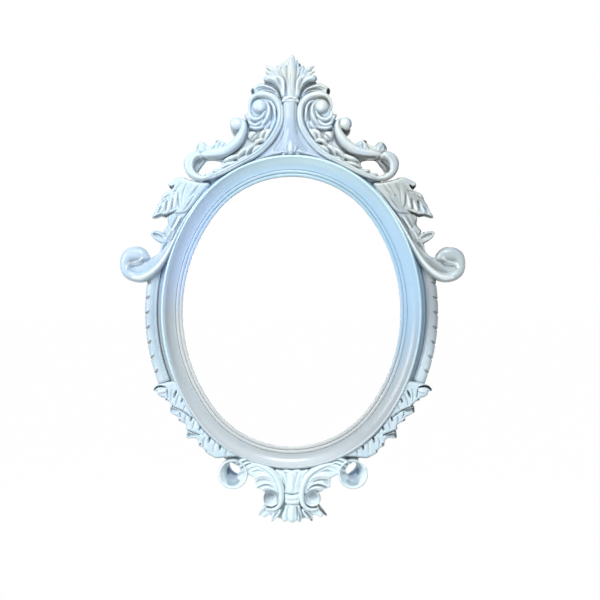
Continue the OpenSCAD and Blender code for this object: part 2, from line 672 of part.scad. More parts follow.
module hanger_screws() {
  color(steel) stand() for (m = [0, 1]) mirror([m, 0, 0])
    translate([hang_x, hang_y - screw_drop, pocket_d - strap_t]) difference() {
      union() {
        cylinder(r = screw_r, h = screw_l);
        translate([0, 0, -head_h]) cylinder(r = head_r, h = head_h);
      }
      translate([-head_r, -slot_w / 2, -head_h - slot_h]) cube([2 * head_r, slot_w, 2 * slot_h]);
    }
}

back_rail();
cove_moulding();
sight_bead();
side_band_left();
side_band_right();
crest_plate();
crest_palmette();
crest_collar();
crest_neck();
crest_drop();
crest_leaf_left();
crest_leaf_right();
crest_side_leaf_left();
crest_side_leaf_right();
crest_scroll_left();
crest_scroll_right();
crest_cabochon_left();
crest_cabochon_right();
crest_acanthus_left();
crest_acanthus_right();
crest_chain_left();
crest_chain_right();
crest_branch_left();
crest_branch_right();
crest_frill_left();
crest_frill_right();
crest_hook_left();
crest_hook_right();
shoulder_leaf_left();
shoulder_leaf_right();
side_volute_left();
side_volute_right();
spray_upper_left();
spray_upper_right();
spray_middle_left();
spray_middle_right();
spray_lower_left();
spray_lower_right();
lower_loop_left();
lower_loop_right();
base_plate();
base_scroll_left();
base_scroll_right();
base_frond_left();
base_frond_right();
base_cabochon_left();
base_cabochon_right();
base_vase();
base_collar();
base_palmette();
base_leaf_left();
base_leaf_right();
hanger_strap_left();
hanger_strap_right();
hanger_ring_left();
hanger_ring_right();
hanger_screws();
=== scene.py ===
# Oval photo prop frame: carved ornament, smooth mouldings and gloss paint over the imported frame
import math
import bpy
import numpy as np
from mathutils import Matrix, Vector


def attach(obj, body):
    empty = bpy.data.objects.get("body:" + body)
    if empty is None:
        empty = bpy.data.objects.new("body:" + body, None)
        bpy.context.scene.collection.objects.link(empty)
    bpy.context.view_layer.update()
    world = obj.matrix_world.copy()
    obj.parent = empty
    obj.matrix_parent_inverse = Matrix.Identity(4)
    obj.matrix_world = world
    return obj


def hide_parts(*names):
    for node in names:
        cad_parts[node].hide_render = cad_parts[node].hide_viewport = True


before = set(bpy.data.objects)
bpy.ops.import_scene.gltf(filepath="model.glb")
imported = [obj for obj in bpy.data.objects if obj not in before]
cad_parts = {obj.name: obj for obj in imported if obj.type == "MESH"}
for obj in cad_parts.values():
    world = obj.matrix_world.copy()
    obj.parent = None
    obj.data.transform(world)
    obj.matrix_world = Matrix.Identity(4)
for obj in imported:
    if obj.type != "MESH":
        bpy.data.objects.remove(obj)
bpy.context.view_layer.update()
print("stage: frame loaded")

# How a point of the 600 x 600 drawing becomes a place on the frame
drawing = {
    "axisX": 291.5,      # pixel column of the frame's middle
    "axisZ": 311.6,      # pixel row of the frame's middle
    "scale": 0.001754,   # metres for one pixel at the height of the ornament
}

# How the casting's left half strays from a mirror image: pixels, and the columns between which it grows
lean = {"crest": (-2.4, 399, 300), "sides": (2.4, 388, 432), "base": (2.8, 300, 335)}

# How fine the carving is, and what the tools leave. A wall is the share of a rise that is upright at an edge.
carving = {
    "step": 0.36,                 # pixels between points of the carving block
    "margin": 2,                                     # pixels of the block round a piece
    "voxel": 0.00082,           # metres
    "softPasses": 3, "softShare": 0.5,
    "sink": 0.5,                                     # millimetres that a piece is let into what carries it
    "least": 0.6,                                    # millimetres that a groove leaves
    "round": (2.2, 0.5), "rim": (3.2, 0.6),          # how full a stroke's section is, and how it turns over
    "strokeWall": 0.34, "fieldWall": 0.5, "pillowWall": 0.42, "spansWall": 0.4, "domeWall": 0.45,
    "fieldBevel": 2.0,                               # pixels
    "thinnest": 0.25, "narrowest": 0.1,              # pixels: least half width of strokes, width of spans
    "grow": 0.5, "strokeGrow": 0.3,                  # pixels that smoothing takes off, given back first
    "reliefReach": 1.5,                              # pixels of each blur that relief is told apart by
    "leftGrime": 0.45, "leftRelief": 0.5,            # strength of the painted shade marks and relief shading on the left half, as shares of the right's
}

# How high a bowl stands on the way from its pit to its rim
bowlWay = [0, 0.3, 0.5, 0.62, 0.74, 0.84, 0.92, 0.97, 1]
bowlRise = [0.30, 0.33, 0.38, 0.47, 0.70, 0.95, 1.0, 0.9, 0.66]

railLevel = 14     # millimetres in front of the wall
plateLevel = 20
far = 99.0         # beyond every distance that a tool looks at
tiny = 1e-9        # keeps a division away from zero


def toX(px):
    return (px - drawing["axisX"]) * drawing["scale"]


def toZ(py):
    return (drawing["axisZ"] - py) * drawing["scale"]


def leftX(px, group):
    most, start, end = lean[group]
    t = min(1.0, max(0.0, (px - start) / (end - start)))
    return 2 * drawing["axisX"] - px + most * t * t * (3 - 2 * t)


def flipped(rows, group):
    return [(leftX(row[0], group),) + tuple(row[1:]) for row in rows]


def smoothRows(rows, count=7, closed=False):     # a smooth curve through the rows
    rows = np.array(rows, float)
    if closed:
        ends = [rows[-1:], rows[:2]]
    else:
        ends = [2 * rows[:1] - rows[1:2], 2 * rows[-1:] - rows[-2:-1]]
    p = np.vstack([ends[0], rows, ends[1]])
    out = []
    for a, b, c, d in zip(p, p[1:], p[2:], p[3:]):
        for j in range(count):
            t = j / count
            out.append(0.5 * (2 * b + (c - a) * t + (2 * a - 5 * b + 4 * c - d) * t * t
                              + (3 * b - a - 3 * c + d) * t ** 3))
    if not closed:
        out.append(rows[-1])
    return np.array(out)


def section(kind, across):     # height over a stroke: across is 0 along its middle and 1 at its edge
    full, turn = carving[kind]
    return np.clip(1 - np.clip(across, 0, 1) ** full, 0, 1) ** turn


def fromSegment(a, b, u, v):     # share of the way along a segment, and how far off it
    du, dv = b[0] - a[0], b[1] - a[1]
    t = np.clip(((u - a[0]) * du + (v - a[1]) * dv) / max(du * du + dv * dv, tiny), 0, 1)
    return t, u - a[0] - t * du, v - a[1] - t * dv


def blurred(grid, cells):     # three box blurs, close to one round one
    size = 2 * cells + 1
    for axis in (0, 1) * 3:
        ends = [(0, 0), (0, 0)]
        ends[axis] = (cells + 1, cells)
        total = np.cumsum(np.pad(grid, ends, mode="edge"), axis)
        count = total.shape[axis]
        grid = (np.take(total, range(size, count), axis) - np.take(total, range(count - size), axis)) / size
    return grid


# A block of material that tools add to and cut from, seen from the front
class Block:
    def __init__(self, box, base):
        step = carving["step"]
        self.base = base
        self.u = np.arange(box[0], box[2] + step, step)
        self.v = np.arange(box[1], box[3] + step, step)
        self.gu, self.gv = np.meshgrid(self.u, self.v)
        self.height = np.full(self.gu.shape, -1.0)     # millimetres, and below 0 where there is nothing
        # painted shading marks: shade above 0, highlight below 0
        self.grime = np.zeros(self.gu.shape)

    def across(self, rows, grow=0.0):     # share of the way from a stroke's middle to its edge, and its rise
        rows = smoothRows(rows)
        reach = rows[:, 2].max() + 1
        j = slice(*np.searchsorted(self.u, [rows[:, 0].min() - reach, rows[:, 0].max() + reach]))
        i = slice(*np.searchsorted(self.v, [rows[:, 1].min() - reach, rows[:, 1].max() + reach]))
        gu, gv = self.gu[i, j], self.gv[i, j]
        best = np.full(gu.shape, far)
        rise = np.zeros(gu.shape)
        for a, b in zip(rows[:-1], rows[1:]):
            t, eu, ev = fromSegment(a, b, gu, gv)
            wide = np.maximum(a[2] + (b[2] - a[2]) * t, carving["thinnest"]) + grow
            share = np.sqrt(eu * eu + ev * ev) / wide
            near = share < best
            best = np.where(near, share, best)
            rise = np.where(near, a[3] + (b[3] - a[3]) * t, rise)
        return (i, j), best, rise

    def lift(self, where, top):
        self.height = np.where(where, np.maximum(self.height, top), self.height)

    def add(self, kind, high, rows, wall=None):
        wall = wall or carving["strokeWall"]
        part, best, rise = self.across(rows, carving["strokeGrow"])
        top = self.base + high * rise * (wall + (1 - wall) * section(kind, best))
        self.height[part] = np.where(best <= 1, np.maximum(self.height[part], top), self.height[part])

    def ridge(self, high, rows):     # a raised line on what is there
        part, best, rise = self.across(rows)
        there = (best <= 1) & (self.height[part] > 0)
        self.height[part] += np.where(there, high * rise * np.clip(1 - best ** 2, 0, 1), 0)

    def groove(self, deep, rows):
        part, best, rise = self.across(rows)
        there = (best <= 1) & (self.height[part] > 0)
        cut = self.height[part] - deep * rise * np.clip(1 - best ** 2, 0, 1)
        self.height[part] = np.where(there, np.maximum(cut, self.base + carving["least"]), self.height[part])

    def inside(self, outline):
        corners = smoothRows(outline, 5, closed=True)
        within = np.zeros(self.gu.shape, bool)
        away = np.full(self.gu.shape, far)
        for a, b in zip(corners, np.roll(corners, -1, axis=0)):
            crosses = (a[1] > self.gv) != (b[1] > self.gv)
            slope = (b[0] - a[0]) / (b[1] - a[1] if b[1] != a[1] else tiny)
            within ^= crosses & (self.gu < a[0] + (self.gv - a[1]) * slope)
            away = np.minimum(away, np.hypot(*fromSegment(a, b, self.gu, self.gv)[1:]))
        return within, away

    def fill(self, high, outline, bevel=carving["fieldBevel"], wall=carving["fieldWall"]):
        within, away = self.inside(outline)     # a flat field with rounded edges
        away = np.where(within, away, -away) + carving["grow"]
        edge = np.clip(away / bevel, 0, 1)
        self.lift(away > 0, self.base + high * (wall + (1 - wall) * np.sqrt(1 - (1 - edge) ** 2)))

    def pillow(self, high, bevel, outline):
        self.fill(high, outline, bevel, carving["pillowWall"])

    def keep(self, outline):     # cuts off all that is outside
        self.height = np.where(self.inside(outline)[0], self.height, -1)

    def hole(self, outline):
        self.height = np.where(self.inside(outline)[0], -1, self.height)

    def dome(self, high, centre, radius):
        away = np.hypot(self.gu - centre[0], self.gv - centre[1]) / radius
        wall = carving["domeWall"]
        self.lift(away <= 1, self.base + high * (wall + (1 - wall) * np.sqrt(np.clip(1 - away * away, 0, 1))))

    def bowl(self, high, centre, radius, pit):     # nested circles from the pit out to the rim
        cu, cv = centre[0] - pit[0], centre[1] - pit[1]
        pu, pv = self.gu - pit[0], self.gv - pit[1]
        a = radius ** 2 - cu ** 2 - cv ** 2
        b = pu * cu + pv * cv
        t = (-b + np.sqrt(b * b + a * (pu * pu + pv * pv))) / a
        self.lift(t <= 1, self.base + high * np.interp(t, bowlWay, bowlRise))

    def spans(self, kind, high, rows):     # from top to bottom: pixel row, left edge, right edge, rise
        rows = smoothRows(rows)
        left, right, rise = (np.interp(self.gv, rows[:, 0], rows[:, n]) for n in (1, 2, 3))
        q = np.abs(2 * (self.gu - left) / np.maximum(right - left, carving["narrowest"]) - 1)
        there = (q <= 1) & (self.gv >= rows[0, 0]) & (self.gv <= rows[-1, 0])
        wall = carving["spansWall"]
        self.lift(there, self.base + high * rise * (wall + (1 - wall) * section(kind, q)))

    def mark(self, amount, rows):     # painted shade above 0, painted highlight below 0
        rows = [(x, y, wide, 1) for x, y, wide in rows] * (2 if len(rows) == 1 else 1)
        part, best, rise = self.across(rows)
        self.grime[part] += np.where(best <= 1, amount * (1 - best ** 3), 0)

    def relief(self):     # how far each point stands above what is round it, in millimetres
        solid = self.height > 0
        cells = max(1, round(carving["reliefReach"] / carving["step"]))
        share = blurred(solid * 1.0, cells)
        level = blurred(np.where(solid, self.height, 0), cells) / np.maximum(share, tiny)
        return np.where(solid, self.height - level, 0)

    def tint(self, mesh, reliefShare):     # hands the block's painted shading marks and relief on to the finished skin
        points = np.empty(len(mesh.vertices) * 3)
        mesh.vertices.foreach_get("co", points)
        points = points.reshape(-1, 3)
        px = points[:, 0] / drawing["scale"] + drawing["axisX"]
        py = drawing["axisZ"] - points[:, 2] / drawing["scale"]
        j = np.clip(np.rint((px - self.u[0]) / carving["step"]), 0, len(self.u) - 1).astype(int)
        i = np.clip(np.rint((py - self.v[0]) / carving["step"]), 0, len(self.v) - 1).astype(int)
        for name, grid in (("grime", self.grime), ("relief", reliefShare * self.relief())):
            made = mesh.attributes.new(name, "FLOAT", "POINT")
            made.data.foreach_set("value", blurred(grid, 1)[i, j].astype(np.float32))

    def mesh(self, name):
        inside = self.height > 0
        cell = inside[:-1, :-1] & inside[1:, :-1] & inside[:-1, 1:] & inside[1:, 1:]
        rows, cols = inside.shape
        back = rows * cols     # the rear points follow the front ones
        number = np.arange(back).reshape(rows, cols)
        a, b = number[:-1, :-1], number[1:, :-1]
        c, d = number[1:, 1:], number[:-1, 1:]
        pad = np.pad(cell, 1)
        faces = [np.stack([a, b, c, d], -1)[cell], np.stack([d, c, b, a], -1)[cell] + back]
        for rightShade, p, q in ((pad[1:-1, :-2], a, b), (pad[2:, 1:-1], b, c),
                             (pad[1:-1, 2:], c, d), (pad[:-2, 1:-1], d, a)):
            faces.append(np.stack([q, p, p + back, q + back], -1)[cell & ~rightShade])
        x = toX(self.gu).ravel()
        z = toZ(self.gv).ravel()
        front = np.column_stack([x, -self.height.ravel() / 1000, z])
        rear = np.column_stack([x, np.full(back, -(self.base - carving["sink"]) / 1000), z])
        used, faces = np.unique(np.vstack(faces), return_inverse=True)
        return meshFrom(name, np.vstack([front, rear])[used], faces.reshape(-1, 4))


def meshFrom(name, points, faces):
    mesh = bpy.data.meshes.new(name)
    mesh.from_pydata([tuple(p) for p in points], [], [tuple(f) for f in faces])
    mesh.update()
    return mesh


def shadeSmooth(mesh):     # all but a band's flat ends, which have many corners
    for face in mesh.polygons:
        face.use_smooth = len(face.vertices) <= 4


def settle(obj):     # applies an object's modifiers
    bpy.context.view_layer.update()
    shape = obj.evaluated_get(bpy.context.evaluated_depsgraph_get())
    mesh = bpy.data.meshes.new_from_object(shape)
    obj.modifiers.clear()
    obj.data = mesh
    shadeSmooth(mesh)


def putPiece(name, mesh, material, node):
    obj = bpy.data.objects.new(name, mesh)
    bpy.context.scene.collection.objects.link(obj)
    obj.data.materials.append(material)
    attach(obj, "frame")
    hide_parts(node)
    return obj


def blockPoints(strokes):     # what a piece's block has to hold
    points = []
    for tool, *given in strokes:
        if tool in ("dome", "bowl"):
            (x, y), radius = given[1:3]
            points += [(x - radius, y - radius), (x + radius, y + radius)]
        elif tool == "spans":
            points += [(x, row[0]) for row in given[2] for x in row[1:3]]
        elif tool not in ("hole", "keep"):
            rows = next(part for part in given if isinstance(part, list))
            for x, y, wide in [(*row, 0)[:3] for row in rows]:
                points += [(x - wide, y - wide), (x + wide, y + wide)]
    return points


def pieceName(node):     # crest_leaf_left becomes crestLeafLeft
    first, *others = node.split("_")
    return first + "".join(word.capitalize() for word in others)


def carve(node, group, side, base, strokes, material):
    def turn(part):     # the drawing as it is on the right, or its mirror image with the stray
        if side != "left" or not isinstance(part, (list, tuple)):
            return part
        return flipped(part, group) if isinstance(part, list) else flipped([part], group)[0]

    xs, ys = zip(*turn(blockPoints(strokes)))
    margin = carving["margin"]
    block = Block((min(xs) - margin, min(ys) - margin, max(xs) + margin, max(ys) + margin), base)
    for tool, *given in strokes:
        given = [turn(part) for part in given]
        if tool in ("round", "rim"):
            block.add(tool, *given)
        else:
            getattr(block, tool)(*given)
    # Painted shade and highlight marks; the shade is weaker on the left half
    for amount, rows in marks.get(node, []):
        softer = side == "left" and amount > 0 and node not in evenlyMarked
        block.mark(amount * (carving["leftGrime"] if softer else 1), turn(rows))
    whole = node if side == "middle" else node + "_" + side
    obj = putPiece(pieceName(whole), block.mesh(pieceName(whole)), material, whole)
    remesh = obj.modifiers.new("oneSkin", "REMESH")
    remesh.mode = "VOXEL"
    remesh.voxel_size = carving["voxel"]
    soft = obj.modifiers.new("soften", "SMOOTH")
    soft.factor = carving["softShare"]
    soft.iterations = carving["softPasses"]
    settle(obj)
    block.tint(obj.data, carving["leftRelief"] if side == "left" else 1)


# Finishes: a wire is one socket's value, and sums with wires add Math nodes
class Wire:
    def __init__(self, finish, socket):
        self.finish, self.socket = finish, socket

    def maths(self, operation, first, second=0.0):
        return self.finish.node("ShaderNodeMath", {"operation": operation}, {0: first, 1: second})

    def __add__(self, other):
        return self.maths("ADD", self, other)

    def __sub__(self, other):
        return self.maths("SUBTRACT", self, other)

    def __rsub__(self, other):
        return self.maths("SUBTRACT", other, self)

    def __mul__(self, other):
        return self.maths("MULTIPLY", self, other)

    def __neg__(self):
        return self.maths("MULTIPLY", self, -1.0)

    def __abs__(self):
        return self.maths("ABSOLUTE", self)

    __radd__ = __add__
    __rmul__ = __mul__


class Finish:
    def __init__(self, owner):
        self.owner = bpy.data.materials.new(owner) if isinstance(owner, str) else owner
        self.owner.use_nodes = True
        self.tree = self.owner.node_tree
        self.tree.nodes.clear()

    def node(self, kind, settings, inputs, output=0):
        made = self.tree.nodes.new(kind)
        for key, value in settings.items():
            setattr(made, key, value)
        for key, value in inputs.items():
            if isinstance(value, Wire):
                self.tree.links.new(value.socket, made.inputs[key])
            else:
                made.inputs[key].default_value = value
        return Wire(self, made.outputs[output])

    def mix(self, factor, first, second):     # 6, 7 and 2 are the node's colour sockets
        colours = [c if isinstance(c, Wire) else (*c, 1) for c in (first, second)]
        return self.node("ShaderNodeMix", {"data_type": "RGBA"}, {0: factor, 6: colours[0], 7: colours[1]}, 2)

    def noise(self, place, scale, detail=3.0, rough=0.55):
        return self.node("ShaderNodeTexNoise", {},
                         {"Vector": place, "Scale": scale, "Detail": detail, "Roughness": rough})

    def smooth(self, value, low, high):
        return self.node("ShaderNodeMapRange", {"interpolation_type": "SMOOTHSTEP"},
                         {"Value": value, "From Min": low, "From Max": high, "To Min": 0.0, "To Max": 1.0})

    def bump(self, height, strength, distance):
        return self.node("ShaderNodeBump", {}, {"Strength": strength, "Distance": distance, "Height": height})

    def place(self):
        return self.node("ShaderNodeTexCoord", {}, {}, "Object")

    def attribute(self, name):
        return self.node("ShaderNodeAttribute", {"attribute_name": name}, {}, "Fac")

    def split(self, vector):
        made = self.node("ShaderNodeSeparateXYZ", {}, {0: vector}).socket.node
        return [Wire(self, socket) for socket in made.outputs]

    def seenDirectly(self):     # camera, mirror and see-through rays
        path = self.node("ShaderNodeLightPath", {}, {}).socket.node
        rays = [Wire(self, path.outputs[key])
                for key in ("Is Camera Ray", "Is Glossy Ray", "Is Transmission Ray")]
        return self.node("ShaderNodeClamp", {}, {"Value": rays[0] + rays[1] + rays[2]})

    def done(self, **sockets):
        named = {key.replace("_", " "): value for key, value in sockets.items()}
        self.close(self.node("ShaderNodeBsdfPrincipled", {}, named))
        return self.owner

    def close(self, shader, kind="ShaderNodeOutputMaterial"):
        self.tree.links.new(shader.socket, self.tree.nodes.new(kind).inputs["Surface"])


paint = {
    "cool": (0.485, 0.645, 0.785),    # the paint's main colour
    "pale": (0.61, 0.775, 0.87),
    "clear": (0.69, 0.87, 0.95),      # the base
    "bright": (0.76, 0.92, 0.98),
    "sky": (0.39, 0.60, 0.79),        # painted cool light and reflection on the mouldings at the upper right
    "cream": (0.60, 0.64, 0.58),      # the ornament at the upper right
    "skyTop": (0.38, 0.57, 0.73),     # painted reflection of bright blue light on the mouldings under the crest
    "beadTop": (0.39, 0.58, 0.70),    # and the beads there, with painted shade and blue light
    "beadPlain": (0.55, 0.60, 0.62), "beadPale": (0.60, 0.65, 0.66),
    "lavender": (0.57, 0.67, 0.88),
    "violet": (0.44, 0.56, 0.84),     # the mouldings at the upper left
    "dull": (0.31, 0.35, 0.38),       # painted shade on the ornament at the right side, and in the mouldings
    "plain": (0.44, 0.515, 0.56),     # the mouldings at the lower left
    "plainPale": (0.48, 0.55, 0.585),
    "grime": (0.26, 0.27, 0.27),      # painted shade in the deepest hollows, low places and sunk parts of the carving
    "side": (0.22, 0.22, 0.21),       # painted shade on upright walls and undersides
    "worn": (0.86, 0.94, 0.96),       # painted highlight on raised parts, sharp edges and marked places
    "soot": (0.075, 0.080, 0.078),    # painted shade where it is marked
    "slate": (0.10, 0.17, 0.26),      # painted shade marked in the loops
    "mauve": (0.16, 0.15, 0.22),      # painted shade marked on the base bosses
    "stem": (0.42, 0.55, 0.70),       # the crest's neck and palmette
    "chalk": (0.60, 0.68, 0.72),      # the chains
    "lip": (0.69, 0.93, 1.0),         # painted light on the mouldings' outer edge, at the top
    "lipLeft": (0.62, 0.84, 1.0),     # its painted light at the upper left
    "lipPlain": (0.63, 0.71, 0.76),   # and lower down
    "rough": 0.30, "roughClouds": 0.14, "roughHollows": 0.25, "roughGrain": 0.05,
    "bumpClouds": 0.7, "bumpGrain": 0.12, "bumpStrength": 0.28, "bumpDistance": 0.0016,
    "coat": 0.25, "coatRough": 0.14, "shine": 0.4,
}

# How strong each tint is at its strongest
strength = {
    "low": 0.2, "lavender": 0.3, "lavenderLess": 0.05, "cream": 0.8, "hollow": 0.5, "deep": 0.25,
    "sunk": 0.40, "proud": 0.30, "edge": 0.5, "edgeLess": 0.35, "rubbed": 0.9,
    "lip": 0.9, "lipSides": 0.35, "lipLeft": 0.6, "lipRightLess": 0.7,
    "shade": 0.07, "shadeLow": 0.6, "leftShade": 0.35, "violet": 0.55,
}

# Where each tint fades in: from, to, and how far the clouds in the paint move that border.
# Places are metres to the right or up, depths are millimetres from the wall.
fades = {
    "pale": (0.42, 0.66, 0.5), "low": (-0.04, -0.14, 0),
    "sky": (-0.11, 0.07, 0), "skyTop": (0.10, 0.24, 0),
    "lavender": (0.50, 0.70, 0),
    "creamUp": (0.28, 0.44, 0), "creamClouds": (0.26, 0.62, 0),
    "besideRight": (0.07, 0.20, 0), "besideUp": (-0.12, 0.02, 0.04),
    "hollow": (-0.497, -0.455, 0.03), "edge": (0.525, 0.58, 0.04),
    "wall": (0.42, 0.08, 0.1), "under": (-0.20, -0.85, 0.1), "front": (0.6, 0.1, 0),
    "deep": (29.0, 20.0, 3),
    "sunk": (-0.35, -2.4, 0.6), "proud": (0.25, 1.5, 0.6),
    "rubbed": (0.06, 0.95, 0.1), "marked": (0.05, 0.90, 0.14),
    "ends": (0.03, 0.20, 0), "leftward": (0.06, -0.10, 0), "rightward": (0.03, 0.17, 0),
    "crown": (31.0, 33.0, 0), "lipDepth": (20.0, 27.5, 0), "lipSidesDepth": (27.0, 30.5, 0),
    "lipLeft": (-0.02, -0.13, 0), "lipUp": (-0.16, 0.02, 0),
    "shadeDepth": (18.0, 26.0, 0), "shadeDown": (0.06, -0.10, 0),
    "leftShadeDepth": (22.0, 26.0, 0), "leftShadeStop": (31.5, 28.5, 0), "leftShadeLeft": (-0.12, -0.18, 0),
    "violetLeft": (-0.09, -0.16, 0), "violetUp": (-0.02, 0.08, 0),
}

# How the borders of the painted sky-blue light and of the cream slant to the side and waver
slant = {"sky": 0.35, "skyWaver": 0.1, "cream": 1.2, "creamWaver": 0.16}

# The paint's noises: scale, detail and roughness
noises = {"wide": (5.0, 2.0, 0.55), "cloud": (26.0, 4.0, 0.6),
          "patch": (9.0, 3.0, 0.55), "grain": (420.0, 3.0, 0.6)}


def glossPaint(name, main="cool", pale="pale", creamShare=1.0, grimeShare=1.0, wallShare=0.5, underShare=0.5,
               skyShare=0.0, top="skyTop", besideShare=0.44, mark="soot"):
    f = Finish(name)
    place = f.place()
    x, y, z = f.split(place)
    depth = y * -1000
    facing = f.split(f.node("ShaderNodeNewGeometry", {}, {}, "Normal"))
    pointed = f.node("ShaderNodeNewGeometry", {}, {}, "Pointiness")
    wide, cloud, patch, grain = (f.noise(place, *noises[key]) for key in ("wide", "cloud", "patch", "grain"))
    stray = cloud - 0.5

    def fade(key, value):
        low, high, ragged = fades[key]
        return f.smooth(value + stray * ragged if ragged else value, low, high)

    colour = f.mix(fade("pale", wide + fade("low", z) * strength["low"]), paint[main], paint[pale])
    # Painted cool light and reflection on the mouldings: sky blue at the upper right and under the crest
    skyBorder = z + x * slant["sky"] + (wide - 0.5) * slant["skyWaver"]
    skyColour = f.mix(fade("skyTop", z), paint["sky"], paint[top])
    colour = f.mix(fade("sky", skyBorder) * skyShare, colour, skyColour)
    lavender = fade("lavender", patch) * (strength["lavender"] - strength["lavenderLess"] * skyShare)
    colour = f.mix(lavender, colour, paint["lavender"])
    creamBorder = z + x * slant["cream"] + (wide - 0.5) * slant["creamWaver"]
    cream = fade("creamUp", creamBorder) * fade("creamClouds", cloud) * creamShare
    colour = f.mix(cream * strength["cream"], colour, paint["cream"])
    # Painted shade on the ornament at the right side
    rightShade = fade("besideRight", x) * fade("besideUp", z) * (1 - skyShare)
    colour = f.mix(rightShade * besideShare, colour, paint["dull"])
    # Painted shade: darker in hollows, on upright walls, under overhangs and in low places
    hollow = fade("hollow", -pointed)
    colour = f.mix(hollow * strength["hollow"] * grimeShare, colour, paint["grime"])
    colour = f.mix(fade("wall", -facing[1]) * wallShare, colour, paint["side"])
    colour = f.mix(fade("under", facing[2]) * underShare, colour, paint["side"])
    colour = f.mix(fade("deep", depth) * strength["deep"] * grimeShare, colour, paint["grime"])
    if skyShare:
        colour = mouldingTints(f, fade, colour, x, z, depth)
    front = fade("front", facing[1])     # the flat backs stay plain
    relief = f.attribute("relief")
    # Painted shade in sunk parts of the carving
    colour = f.mix(fade("sunk", relief) * front * strength["sunk"] * grimeShare, colour, paint["grime"])
    # Painted highlight on raised parts and sharp edges
    colour = f.mix(fade("proud", relief) * front * strength["proud"], colour, paint["worn"])
    edge = fade("edge", pointed) * (strength["edge"] - strength["edgeLess"] * skyShare)
    colour = f.mix(edge, colour, paint["worn"])
    # Painted shade and painted highlight where they are marked
    marked = f.attribute("grime")
    colour = f.mix(fade("rubbed", -marked) * front * strength["rubbed"], colour, paint["worn"])
    colour = f.mix(fade("marked", marked) * front, colour, paint[mark])
    rough = paint["rough"] + stray * paint["roughClouds"] + hollow * paint["roughHollows"]
    rough = rough + (grain - 0.5) * paint["roughGrain"]
    height = cloud * paint["bumpClouds"] + grain * paint["bumpGrain"]
    bump = f.bump(height, paint["bumpStrength"], paint["bumpDistance"])
    return f.done(Base_Color=colour, Roughness=rough, Normal=bump, Coat_Weight=paint["coat"],
                  Coat_Roughness=paint["coatRough"], Specular_IOR_Level=paint["shine"])


def mouldingTints(f, fade, colour, x, z, depth):     # painted light and shade: the outer edge is brighter, most of all above and below, and the cove is darker at the right and left
    ends = fade("ends", abs(z))
    crown = fade("crown", depth)
    rightward = fade("rightward", x) * (1 - crown)
    lip = fade("lipDepth", depth) * ends * strength["lip"]
    leftLip = strength["lipSides"] + fade("leftward", x) * strength["lipLeft"]
    lip = lip + fade("lipSidesDepth", depth) * (1 - ends) * leftLip
    lip = lip * (1 - rightward * strength["lipRightLess"])
    light = f.mix(fade("lipLeft", x), paint["lip"], paint["lipLeft"])
    light = f.mix(fade("lipUp", z) + crown * (1 - ends), paint["lipPlain"], light)
    colour = f.mix(lip, colour, light)
    shadeLow = strength["shade"] + strength["shadeLow"] * fade("shadeDown", z)
    shade = fade("shadeDepth", depth) * rightward * shadeLow
    leftShade = fade("leftShadeDepth", depth) * fade("leftShadeStop", depth) * fade("leftShadeLeft", x)
    colour = f.mix(shade + leftShade * (1 - ends) * strength["leftShade"], colour, paint["dull"])
    violet = fade("violetLeft", x) * fade("violetUp", z) * (1 - crown) * strength["violet"]
    return f.mix(violet, colour, paint["violet"])


steel = {
    "bright": (0.62, 0.63, 0.64), "dull": (0.44, 0.43, 0.41), "fade": (0.4, 0.7),
    "rough": 0.30, "roughClouds": 0.2, "roughLines": 0.06, "bumpStrength": 0.25, "bumpDistance": 0.0003,
    "cloudScale": 160.0, "lineScale": 3.0, "detail": (4.0, 2.0), "lineStretch": (60.0, 900.0, 900.0),
}


def brushedSteel(name):
    f = Finish(name)
    place = f.place()
    cloud = f.noise(place, steel["cloudScale"], steel["detail"][0])
    drawn = f.node("ShaderNodeMapping", {}, {"Vector": place, "Scale": steel["lineStretch"]})
    line = f.noise(drawn, steel["lineScale"], steel["detail"][1])
    colour = f.mix(f.smooth(cloud, *steel["fade"]), steel["bright"], steel["dull"])
    rough = steel["rough"] + (cloud - 0.5) * steel["roughClouds"] + line * steel["roughLines"]
    bump = f.bump(line, steel["bumpStrength"], steel["bumpDistance"])
    return f.done(Base_Color=colour, Metallic=1.0, Roughness=rough, Normal=bump)


baseShares = {"creamShare": 0.0, "grimeShare": 0.4, "wallShare": 0.35, "underShare": 0.2}
smoothShares = {"creamShare": 0.0, "grimeShare": 0.0, "skyShare": 1.0}

ornamentPaint = glossPaint("ornamentPaint", wallShare=0.3, underShare=0.34)
stemPaint = glossPaint("stemPaint", "stem", "cool", wallShare=0.3, underShare=0.34)
chainPaint = glossPaint("chainPaint", "chalk", "pale", grimeShare=0.7, wallShare=0.3, underShare=0.3)
basePaint = glossPaint("basePaint", "clear", "bright", **baseShares)
loopPaint = glossPaint("loopPaint", "clear", "bright", **baseShares, mark="slate")
bossPaint = glossPaint("bossPaint", "clear", "bright", **baseShares, mark="mauve")
bandPaint = glossPaint("bandPaint", creamShare=0.2, wallShare=0.35, besideShare=0.85)
mouldingPaint = glossPaint("mouldingPaint", "plain", "plainPale", **smoothShares,
                           wallShare=0.05, underShare=0.0)
beadPaint = glossPaint("beadPaint", "beadPlain", "beadPale", **smoothShares,
                       wallShare=0.85, underShare=0.45, top="beadTop")
platePaint = glossPaint("platePaint", grimeShare=0.8)
railPaint = glossPaint("railPaint", creamShare=0.4, grimeShare=0.5, wallShare=0.4, underShare=0.2)
hangerSteel = brushedSteel("hangerSteel")
print("stage: finishes made")

